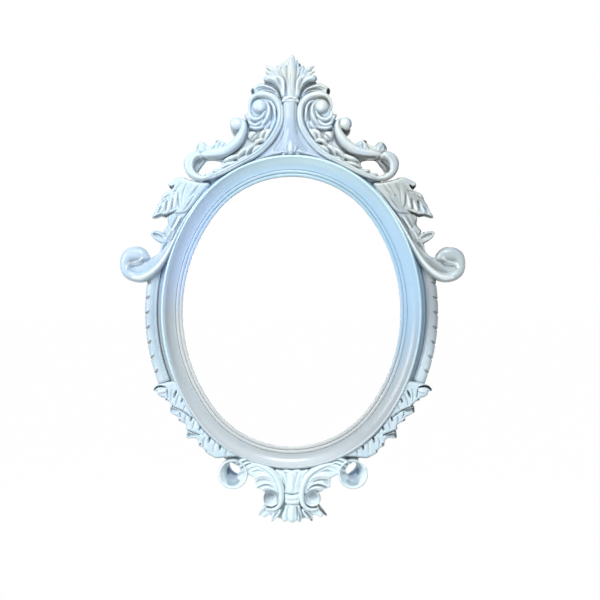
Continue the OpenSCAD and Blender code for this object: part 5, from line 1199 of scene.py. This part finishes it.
# Marks in the paint, drawn on the right side: amount, then pixel column, pixel row and half width.
# Above 0 it is painted shade in a corner or at an undercut edge, below 0 it is a painted highlight.
marks = {
    "crest_plate": [
        (0.9, [(361, 163, 1.2), (363, 160.2, 1.3), (369, 159.4, 1.3), (375.4, 159.4, 1.3),
               (380, 164.8, 1.4), (384, 170.6, 1.4)]),
        (0.6, [(359.4, 165.6, 1.3)]),
        (0.6, [(366.6, 169.8, 1.3)]),
    ],
    "crest_palmette": [
        (0.9, [(299.4, 62, 0.9), (299.8, 64.6, 1.2)]),
        (0.6, [(302.6, 65.6, 1.2), (302.6, 69, 1.8), (301.6, 73, 1.6)]),
        (0.35, [(277.2, 66.6, 1.3)]),
        (0.4, [(285.6, 80, 1.0), (286.4, 90, 1.4), (286.6, 97, 1.4)]),
        (0.45, [(297.2, 79, 0.9), (297.4, 88, 1.1)]),
        (0.35, [(275, 70, 1.2), (279, 73.4, 1.6), (283, 78, 1.2)]),
        (-0.4, [(291.4, 61, 1.6), (290.6, 68, 2.0), (290.4, 74, 1.4)]),
    ],
    "crest_leaf": [
        (0.48, [(299, 90.4, 1.2), (303, 84.8, 1.5), (308, 82.4, 1.5), (313, 81.4, 1.5), (316.6, 80, 1.3)]),
        (0.56, [(315.4, 75.6, 1.0), (316.4, 79.4, 1.1)]),
        (0.44, [(303, 65.8, 1.2), (303.6, 69, 1.6), (302.8, 73, 1.4)]),
        (0.4, [(306, 70.6, 1.4), (310, 68, 1.4), (313.4, 66.4, 1.1)]),
        (-0.8, [(297.4, 95, 1.1), (297.2, 84, 1.2), (299, 79, 1.2), (303.4, 77.2, 1.0)]),
        (-0.3, [(305, 79, 2.0), (312, 77.6, 1.6)]),
    ],
    "crest_side_leaf": [
        (1.0, [(328.4, 88.4, 1.4), (328.8, 91, 2.0), (328, 93, 1.7)]),
        (0.5, [(302.6, 93.4, 1.2), (306.4, 90, 1.4), (311, 88.6, 1.4), (316, 88.4, 1.3), (321, 89.4, 1.2)]),
        (0.4, [(317, 81.6, 1.0), (320.4, 83.6, 1.0)]),
        (-0.8, [(303.4, 90.6, 1.1), (308, 87.4, 1.2), (314.4, 85.4, 1.2)]),
    ],
    "crest_scroll": [
        (0.45, [(318.6, 97.4, 1.0), (324, 97.2, 1.4), (327.6, 99.6, 1.2)]),
        (0.5, [(304.6, 102.6, 1.1), (303.2, 108, 1.2), (302.6, 114, 1.2), (303.2, 120, 1.2),
               (305.2, 126, 1.2)]),
        (-0.7, [(304, 98.2, 1.2), (309, 94.4, 1.4), (315, 92.4, 1.4), (321, 92.6, 1.2)]),
        (-0.6, [(298.4, 106, 1.2), (298.2, 116, 1.3), (299.6, 126, 1.3), (304.2, 136, 1.3), (311, 145, 1.3),
                (319, 152, 1.2), (330, 158.4, 1.1)]),
        (-0.5, [(340, 163.4, 1.0), (356, 171.4, 1.1), (370, 177.2, 1.2)]),
        (0.4, [(330.4, 104.6, 1.0), (331.2, 110, 1.0)]),
    ],
    "crest_neck": [
        (0.3, [(282.4, 104, 1.0), (282.6, 124, 1.1), (279.6, 132, 1.2), (274.6, 140.4, 1.2)]),
        (0.38, [(295.4, 102, 1.6), (295.0, 112, 2.2), (295.6, 122, 2.2), (297.4, 132, 2.0)]),
        (0.5, [(258, 158, 1.0), (268, 156.2, 1.1), (277, 154.6, 1.1), (282, 152.6, 1.0)]),
        (0.5, [(300, 153.4, 1.0), (309, 155, 1.1), (318, 157.4, 1.0)]),
        (0.3, [(309.6, 143, 1.2), (313.4, 148.4, 1.2)]),
        (-0.5, [(270, 152.4, 1.2), (277.4, 145.4, 1.4), (280.4, 139, 1.0)]),
        (-0.3, [(288, 105, 2.4), (288, 118, 2.4)]),
    ],
    "crest_drop": [
        (0.6, [(294.2, 142.6, 0.9), (296, 147.6, 1.0)]),
        (0.45, [(282.4, 152.6, 1.2), (285, 151, 1.0)]),
        (0.45, [(292.4, 154.6, 1.0), (296.4, 151.2, 1.0)]),
        (-0.5, [(290, 146, 1.6), (290.4, 151, 1.6)]),
    ],
    "crest_collar": [
        (-0.6, [(284.6, 98.6, 1.6), (291, 97.4, 1.8)]),
        (0.35, [(295.4, 99.6, 1.6)]),
    ],
    "crest_cabochon": [
        (-0.6, [(320.6, 108, 4.0)]),
        (0.5, [(326.6, 100.6, 1.1), (328.8, 106, 1.3), (328.2, 111.4, 1.2)]),
    ],
    "crest_acanthus": [
        (0.36, [(317.4, 113.4, 1.2), (321.6, 117, 1.5), (327.4, 118.2, 1.3)]),
        (0.36, [(310.2, 102.6, 1.0), (308.8, 109, 1.1), (309, 115, 1.1), (311.4, 121, 1.1)]),
        (0.52, [(333.8, 113.2, 1.2), (335.8, 116.6, 1.4), (336.8, 119.2, 1.1)]),
        (0.4, [(314.6, 126.6, 1.3), (321, 129.4, 1.7), (330.4, 129.4, 1.5)]),
        (0.48, [(305.4, 125, 1.4)]),
        (0.4, [(329.6, 111.2, 1.4)]),
        (-0.9, [(305.4, 118.6, 1.4)]),
        (-0.6, [(305.6, 107, 0.9), (305.4, 114, 1.0)]),
        (-0.5, [(311.6, 107, 1.0), (313.6, 116, 1.1), (318, 122, 1.1)]),
    ],
    "crest_chain": [
        (0.084, [(311, 132, 3.4), (322, 144, 4.4), (336, 152, 4.6), (353, 161, 4.0)]),
        (0.35, [(313.6, 137, 1.3)]),
        (0.56, [(320.6, 142.4, 1.2), (322, 143.6, 1.4)]),
        (0.52, [(327.2, 144.8, 1.4)]),
        (0.42, [(333.4, 139.4, 1.4), (331.4, 143.6, 1.7)]),
        (0.49, [(338.6, 148.2, 1.2), (342.6, 149.6, 1.3)]),
        (0.42, [(332.4, 154, 1.5)]),
        (0.49, [(341.4, 159, 1.6)]),
        (0.42, [(325.6, 133.6, 0.9), (330.4, 138.2, 1.1)]),
        (0.32, [(348.4, 154.4, 1.4), (352.4, 155.6, 1.4)]),
        (0.32, [(349, 163.6, 1.2), (357, 166, 1.5)]),
        (0.63, [(360.4, 163.2, 1.1), (362.6, 160.8, 1.0)]),
        (0.28, [(320, 148, 1.6), (326, 152, 1.4)]),
        (-0.8, [(326, 131.4, 1.0), (330.4, 132.4, 1.1)]),
        (-0.5, [(346, 157.2, 1.3), (356, 159.6, 1.3)]),
        (-0.4, [(309.6, 127.4, 1.3)]),
        (-0.4, [(317.6, 138, 1.2), (323.6, 139.6, 1.2)]),
        (-0.4, [(337.6, 152.6, 1.5), (343, 156, 1.2)]),
    ],
    "crest_branch": [
        (-0.8, [(343.8, 122.4, 3.4)]),
        (0.6, [(349.6, 119.6, 1.3), (351.2, 123.6, 1.5), (350.2, 127.4, 1.3)]),
        (0.8, [(342.4, 129, 1.4), (345.8, 131.6, 1.8), (349.6, 129.8, 1.4)]),
        (1.0, [(345.6, 133.8, 1.2), (348.6, 131.8, 1.1)]),
        (0.4, [(338.6, 120, 1.0), (338.8, 127, 1.0)]),
        (0.7, [(342, 147.6, 1.2), (349, 152.8, 1.5), (357, 155.4, 1.8), (366, 157.0, 2.0),
               (375, 157.0, 1.6)]),
        (-0.45, [(336.4, 124, 1.2), (338, 131.6, 1.7), (343.6, 139.6, 1.8), (352, 146.4, 1.8),
                 (362, 150.4, 1.6), (373, 151.6, 1.4)]),
    ],
    "crest_frill": [
        (0.65, [(364.2, 140, 1.2), (366.4, 142.2, 1.3)]),
        (0.7, [(382.8, 142.8, 1.2), (385.6, 146.2, 1.4), (386.2, 149.6, 1.2)]),
        (0.55, [(346.6, 138.6, 1.1), (351.2, 141.8, 1.2)]),
        (0.45, [(355.4, 143.6, 1.0), (359, 141.4, 1.1)]),
        (0.45, [(376, 144.8, 1.1), (379.4, 142.6, 1.1)]),
    ],
    "crest_hook": [
        (0.8, [(382.0, 160.4, 1.8), (385.8, 164.4, 2.3), (388.4, 168.4, 2.3), (387.8, 172, 1.8)]),
        (1.0, [(377.0, 161.2, 1.1), (380.8, 164.8, 1.3), (383.8, 168.4, 1.4), (385.4, 171.6, 1.2)]),
        (0.5, [(395.8, 156, 1.1), (398.2, 162.6, 1.3), (397.4, 169.6, 1.3), (394.2, 174.6, 1.2)]),
        (-0.6, [(386, 156.8, 1.3), (390.6, 161, 1.4), (392.2, 167, 1.4), (390, 172.6, 1.4),
                (385.4, 176.6, 1.3)]),
        (-0.7, [(384.8, 153.8, 1.8)]),
    ],
    "shoulder_leaf": [
        (0.75, [(390, 180.4, 1.2), (394.6, 178.4, 1.2), (398.6, 178.2, 1.1)]),
        (0.95, [(410, 184.6, 1.1), (412.8, 188.2, 1.5), (415.4, 185.4, 1.1)]),
        (0.5, [(405.8, 195, 0.9), (406.0, 200, 1.1), (405.2, 205, 1.1)]),
        (0.4, [(395, 194.8, 1.4)]),
        (0.5, [(411.4, 199, 1.0), (412.6, 208, 1.1)]),
        (0.65, [(418.0, 201, 1.0), (418.8, 207.6, 1.2)]),
        (0.75, [(410.4, 211.4, 1.0), (414, 213, 1.3), (419.8, 215.2, 1.4), (425.6, 214.8, 1.2),
                (431.6, 216.8, 1.1)]),
        (0.9, [(420.2, 215.2, 1.8)]),
        (0.55, [(421.8, 195.6, 1.0), (424, 200.4, 1.1), (427.4, 204.8, 1.1), (430.2, 210, 1.1),
                (433, 216.2, 1.0)]),
        (0.4, [(411.6, 214, 2.0), (413.6, 218.6, 2.4), (413.8, 225, 2.0)]),
        (0.65, [(416.8, 219, 1.1), (416.2, 224, 1.2), (420, 228.4, 1.3), (421.4, 231.8, 1.2)]),
        (0.9, [(424, 232, 1.4)]),
        (0.42, [(415, 240, 2.0), (419.4, 246, 3.0), (424, 251.6, 2.8)]),
        (0.3, [(398, 186, 5.0), (410, 194, 5.0), (419, 200, 4.0)]),
        (0.3, [(388, 187, 3.6), (396, 200, 4.0), (404, 211, 4.0)]),
        (0.6, [(425.0, 242.4, 1.1), (426, 248.2, 1.2), (430, 254.4, 1.3), (433.4, 257.6, 1.2)]),
        (0.45, [(402.4, 218.6, 1.1), (406.8, 226.2, 1.2), (411.6, 234, 1.1)]),
        (-0.55, [(385.2, 184.2, 0.9), (389, 190, 1.2), (393, 195.6, 1.1)]),
        (-0.9, [(407.4, 196, 1.0), (408.4, 201.6, 1.3), (409.8, 207, 1.3)]),
        (-1.0, [(413.8, 203, 1.1), (415.4, 206.6, 1.7), (417, 210.2, 1.4)]),
        (-0.9, [(420.2, 205, 1.0), (422.4, 209, 1.2), (423.8, 212, 1.0)]),
        (-0.6, [(427, 210, 1.0), (429.8, 213.4, 1.1)]),
        (-0.9, [(404.2, 217.4, 1.1), (408.2, 224, 1.3), (412.6, 231, 1.3), (417.6, 238.4, 1.2)]),
        (-0.4, [(401, 185, 0.9), (402, 192, 1.2), (402.4, 200, 1.0)]),
        (-0.4, [(424, 239.4, 1.4), (428.6, 235.6, 1.6)]),
    ],
    "side_volute": [
        (0.3, [(441.6, 260.2, 1.2), (444, 264.4, 1.5), (448, 266.6, 1.7), (453.6, 267, 1.6),
               (456, 269.4, 1.1)]),
        (-0.9, [(442.8, 257, 1.0), (446, 260.4, 1.3), (450.4, 261.8, 1.4), (455, 263.2, 1.4),
                (458.4, 267.2, 1.4)]),
        (-0.9, [(408, 236.6, 1.1), (414.4, 247.4, 1.5), (420.4, 258, 1.9), (427.4, 267, 2.3),
                (436, 274.2, 2.5), (444.4, 277.8, 2.6), (452, 277.2, 2.0)]),
        (-0.6, [(384, 200.4, 0.9), (392, 211, 1.1), (400, 223, 1.2), (408, 236.6, 1.1)]),
        (0.5, [(436.2, 256, 1.2), (438.4, 251.8, 1.5), (442.4, 248.4, 1.4), (447.6, 246.8, 1.2)]),
        (0.5, [(455.6, 248.6, 1.1), (461.6, 252.8, 1.3), (465.4, 259, 1.4), (465.6, 265, 1.2)]),
        (0.6, [(425.6, 243, 1.2), (426.4, 249, 1.3), (430, 255, 1.4), (434, 257.6, 1.3)]),
        (0.4, [(427, 257.6, 2.2), (433, 263.4, 3.4), (439, 268.4, 3.8), (446, 271.6, 2.6)]),
        (0.7, [(428, 273.6, 1.0), (434, 279, 1.2), (440.6, 282, 1.2)]),
        (-0.6, [(449.2, 250.8, 1.6)]),
    ],
    "spray_upper": [
        (0.95, [(419, 387.4, 1.0), (424.6, 386.0, 1.5), (429, 387.2, 1.5), (431.6, 390, 1.2)]),
        (0.48, [(408.6, 391.6, 1.1), (410.2, 396.6, 1.2)]),
        (0.37, [(418.4, 389.6, 0.9), (417.4, 396.4, 1.0)]),
        (0.52, [(418.4, 399.4, 1.3)]),
        (0.3, [(402, 400.8, 1.4)]),
        (0.52, [(413.6, 402.6, 1.3), (411.6, 405.6, 1.2)]),
        (-0.6, [(421, 391, 1.4), (425.6, 391.4, 1.4)]),
        (-0.5, [(412.4, 396, 1.2), (411.6, 401.6, 1.4)]),
        (-0.4, [(403, 406.6, 1.4), (398, 410.4, 1.2)]),
    ],
    "spray_middle": [
        (0.85, [(402, 410.8, 1.0), (407, 407.8, 1.6), (412.4, 405.8, 1.5)]),
        (0.48, [(407.4, 411, 1.9), (413.2, 410, 2.6)]),
        (0.8, [(413.8, 406.4, 1.0), (414.2, 412, 1.2)]),
        (0.41, [(393.6, 416.6, 0.9), (399, 412.8, 1.0), (404, 409.6, 1.0)]),
        (0.48, [(391.6, 416.6, 1.1), (392.6, 421, 1.2)]),
        (0.37, [(404.4, 411.6, 1.0), (403.6, 416.4, 1.1)]),
        (0.48, [(404.6, 420.4, 1.4)]),
        (0.48, [(382.4, 425.8, 1.1), (384, 430, 1.2)]),
        (0.52, [(397, 426, 1.2), (396.4, 429.6, 1.3)]),
        (-0.6, [(388.4, 420, 1.3), (387.4, 427, 1.4)]),
        (-0.5, [(395, 421.6, 1.3), (393, 428, 1.4)]),
        (-0.4, [(399, 416.4, 1.3)]),
    ],
    "spray_lower": [
        (0.75, [(383.6, 435.2, 1.2), (389, 433, 1.5), (394.6, 431, 1.3)]),
        (0.44, [(386.4, 436.8, 1.3), (391, 436, 1.9), (395, 436.4, 2.2)]),
        (0.8, [(395.6, 431.6, 1.0), (396.4, 437.4, 1.2)]),
        (0.44, [(373.4, 437, 1.1), (375, 442, 1.2)]),
        (0.44, [(363.2, 444, 1.1), (363.8, 449.6, 1.2)]),
        (0.52, [(383.2, 443.4, 1.2), (383.8, 446.2, 1.3)]),
        (0.41, [(376.6, 450.4, 1.2), (376.8, 453.4, 1.1)]),
        (0.37, [(342, 457.4, 1.0), (352, 456.8, 1.1), (362, 457.2, 1.2), (370, 456, 1.1)]),
        (-0.6, [(370, 443, 1.5), (369.4, 451, 1.6)]),
        (-0.5, [(378, 441, 1.3), (376.8, 447, 1.4)]),
        (-0.5, [(357, 449.6, 1.4), (352, 454, 1.3)]),
    ],
    "lower_loop": [
        (0.85, [(356.2, 463.6, 1.1), (358.2, 468.4, 1.5), (357.6, 473, 1.3)]),
        (0.65, [(349.8, 475.0, 1.2), (353.4, 474.0, 1.3), (356.8, 470.8, 1.2)]),
        (0.22, [(346.8, 481, 1.7), (350, 484.0, 2.0), (355, 484.6, 1.9), (359.4, 482.2, 1.4)]),
        (0.56, [(353.4, 476.4, 10.4)]),
        (0.7, [(357, 457.6, 1.1), (362, 458.4, 1.3), (366.2, 461, 1.3)]),
        (0.5, [(366.2, 462, 1.1), (367.4, 467.6, 1.1)]),
        (0.5, [(346.6, 459.8, 0.9), (350.4, 463.4, 1.0)]),
        (0.4, [(340, 464.2, 0.9), (344.4, 467.6, 1.0)]),
        (0.4, [(335.8, 466.8, 0.9), (340, 470.6, 1.0)]),
        (0.4, [(330.6, 467.8, 0.9), (335.6, 469.6, 0.9)]),
        (-0.8, [(361, 462.6, 1.2), (364.4, 469.4, 1.7), (363.8, 477, 1.6), (360, 483.6, 1.3)]),
        (-0.8, [(346.8, 478.4, 1.6)]),
    ],
    "base_scroll": [
        (-0.4, [(330, 464.6, 1.0), (318, 467.6, 1.3), (309.4, 473.4, 1.4), (304.6, 481, 1.4),
                (302.6, 490, 1.3), (302.4, 499, 1.2)]),
        (0.35, [(309.4, 470.8, 0.9), (303.6, 477.6, 1.0), (300.4, 486, 1.0), (299.2, 493, 1.0)]),
    ],
    "base_frond": [
        (0.55, [(313.6, 482, 1.0), (320, 479.8, 1.2), (328, 479.6, 1.2)]),
        (0.4, [(324, 481.8, 1.6), (328.6, 483.6, 1.6)]),
        (0.65, [(307.2, 490, 1.0), (312, 486.6, 1.1), (318, 485.2, 1.2), (326, 487.6, 1.1)]),
        (0.4, [(324.6, 471.6, 0.9), (330, 471.2, 1.0)]),
        (-0.5, [(312, 478, 1.2), (319, 474.4, 1.6), (327, 475.4, 1.3)]),
        (-0.6, [(311, 489.6, 1.1), (318, 488.2, 1.2)]),
    ],
    "base_cabochon": [
        (0.6, [(306.0, 501, 1.2), (305.8, 495.4, 1.3), (309, 491.2, 1.5), (314, 489.6, 1.7),
               (318.8, 491.6, 1.5), (320.4, 497, 1.3), (319.6, 503, 1.2)]),
        (0.44, [(313.2, 496.6, 6.4)]),
        (-0.7, [(308.8, 503.4, 1.6), (313, 505.4, 1.8), (316.6, 503.6, 1.3)]),
    ],
    "base_leaf": [
        (0.6, [(304.2, 510.8, 1.3), (308.2, 514, 1.9), (311, 518.8, 1.5)]),
        (0.8, [(311.6, 520, 1.2)]),
        (0.9, [(318.4, 504.6, 1.2), (320.4, 508.8, 1.5), (323.4, 512.4, 1.4), (326, 515.8, 1.3)]),
        (-0.4, [(316, 510.6, 1.4), (319.6, 514, 1.2)]),
    ],
    "base_palmette": [
        (0.6, [(296.8, 506.4, 1.0), (298, 511.4, 1.2), (299.8, 517, 1.3), (299.2, 520.4, 1.2)]),
        (-0.4, [(291.6, 509, 1.8), (291.6, 517, 2.0)]),
    ],
    "base_vase": [
        (0.45, [(286.4, 492.6, 1.0), (292, 493.2, 1.0), (298, 492.2, 1.0)]),
        (0.4, [(283, 471, 1.0), (288, 472.4, 1.1)]),
        (0.35, [(294.6, 471.4, 1.0), (298.6, 472.8, 1.0)]),
        (0.4, [(282.6, 476.6, 1.0), (285.2, 483.6, 1.1), (286.2, 491, 1.0)]),
        (-0.4, [(292, 477, 2.2), (292, 487, 2.2)]),
    ],
    "base_collar": [
        (0.3, [(297, 497, 1.6), (297, 502, 1.5)]),
        (-0.4, [(290.4, 497.4, 1.8)]),
    ],
}

# Nodes whose marks are as strong on the left half as on the right
evenlyMarked = ("lower_loop", "base_cabochon")


def lipOutline(count=120):     # the moulding's outer edge as pixels
    edge = lipStart + oval["lipWide"] + oval["plateGap"]
    out = []
    for i in range(count):
        x, z = ovalPoint(2 * math.pi * i / count, edge)
        x, z = x / 1000 / drawing["scale"], z / 1000 / drawing["scale"]
        out.append((drawing["axisX"] + x, drawing["axisZ"] - z))
    return out


def carvePlate(group):
    node = group + "_plate"
    whole = plates[node] + flipped(plates[node][::-1], group)
    strokes = [("fill", plateLevel - railLevel, whole), ("hole", lipOutline())]
    if group == "crest":
        strokes += [("hole", plates["hole"]), ("hole", flipped(plates["hole"], group))]
    carve(node, group, "middle", railLevel, strokes, platePaint)


for group in ("crest", "base"):
    carvePlate(group)
print("stage: backing plates")

ownFinish = {"crest_neck": stemPaint, "crest_palmette": stemPaint, "crest_chain": chainPaint,
             "lower_loop": loopPaint, "base_cabochon": bossPaint}
for group, ornaments, finish in (("crest", crest, ornamentPaint), ("sides", sides, ornamentPaint),
                                 ("base", base, basePaint)):
    for node, (kind, level, strokes) in ornaments.items():
        for side in ("left", "right") if kind == "pair" else ("middle",):
            carve(node, group, side, level, strokes, ownFinish.get(node, finish))
    print("stage: carved", group)

# Nodes that keep their own shape
keptNodes = {"back_rail": railPaint, "hanger_strap_left": hangerSteel, "hanger_strap_right": hangerSteel,
             "hanger_ring_left": hangerSteel, "hanger_ring_right": hangerSteel, "hanger_screws": hangerSteel}
for node, material in keptNodes.items():
    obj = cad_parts[node]
    for slot in obj.material_slots:
        slot.material = material
    if not obj.material_slots:
        obj.data.materials.append(material)
print("stage: rail and hangers")

# Studio
studio = {
    "floorAt": -0.78, "floorHalf": 40,
    "floorColour": (0.86, 0.86, 0.86), "floorPale": (0.88, 0.88, 0.88),
    "floorGrain": 60.0, "floorFade": (0.3, 0.7), "floorGlow": 0.992,
    "world": 0.34, "white": (1, 1, 1, 1),
    "lens": 50.85, "sensor": 36, "cameraPlace": (0.0149, -1.518, 0.0206),
}
lamps = {     # place, size and watts
    "keyLamp": ((-1.9, -1.5, 0.6), 1.0, 28.0),
    "lowLamp": ((-0.1, -1.5, -1.9), 1.2, 30.0),
    "topLamp": ((0.05, -1.5, 1.6), 0.5, 27.5),
    "backLamp": ((0.5, 2.2, 0.5), 1.6, 26.0),     # for views from behind
}

for name, (place, size, watts) in lamps.items():
    light = bpy.data.lights.new(name, "AREA")
    light.size = size
    light.energy = watts
    lamp = bpy.data.objects.new(name, light)
    lamp.location = place
    lamp.rotation_euler = (-Vector(place)).to_track_quat("-Z", "Y").to_euler()
    lamp.visible_camera = False     # other views look past the lamps
    bpy.context.scene.collection.objects.link(lamp)

paper = Finish("floorPaper")
grain = paper.smooth(paper.noise(paper.place(), studio["floorGrain"]), *studio["floorFade"])
paperColour = paper.mix(grain, studio["floorColour"], studio["floorPale"])
matt = paper.node("ShaderNodeBsdfDiffuse", {}, {"Color": paperColour})
glow = paper.node("ShaderNodeEmission", {}, {"Color": studio["white"], "Strength": 1.0})
seen = paper.seenDirectly() * studio["floorGlow"]
paper.close(paper.node("ShaderNodeMixShader", {}, {0: seen, 1: matt, 2: glow}))
half, level = studio["floorHalf"], studio["floorAt"]
floorMesh = meshFrom("studioFloor", [(-half, -half, level), (half, -half, level),
                                     (half, half, level), (-half, half, level)], [(0, 1, 2, 3)])
floorMesh.materials.append(paper.owner)
floor = bpy.data.objects.new("studioFloor", floorMesh)
bpy.context.scene.collection.objects.link(floor)

world = bpy.data.worlds.new("studioWorld")
bpy.context.scene.world = world
sky = Finish(world)
dim = sky.node("ShaderNodeBackground", {}, {"Color": studio["white"], "Strength": studio["world"]})
white = sky.node("ShaderNodeBackground", {}, {"Color": studio["white"], "Strength": 1.0})
light = sky.node("ShaderNodeMixShader", {}, {0: sky.seenDirectly(), 1: dim, 2: white})
sky.close(light, "ShaderNodeOutputWorld")

camera = bpy.data.cameras.new("photoCamera")
camera.lens = studio["lens"]
camera.sensor_width = studio["sensor"]
cameraObject = bpy.data.objects.new("photoCamera", camera)
cameraObject.location = studio["cameraPlace"]
cameraObject.rotation_euler = (math.pi / 2, 0, 0)
bpy.context.scene.collection.objects.link(cameraObject)
bpy.context.scene.camera = cameraObject
bpy.context.scene.view_settings.view_transform = "Standard"
print("stage: studio")
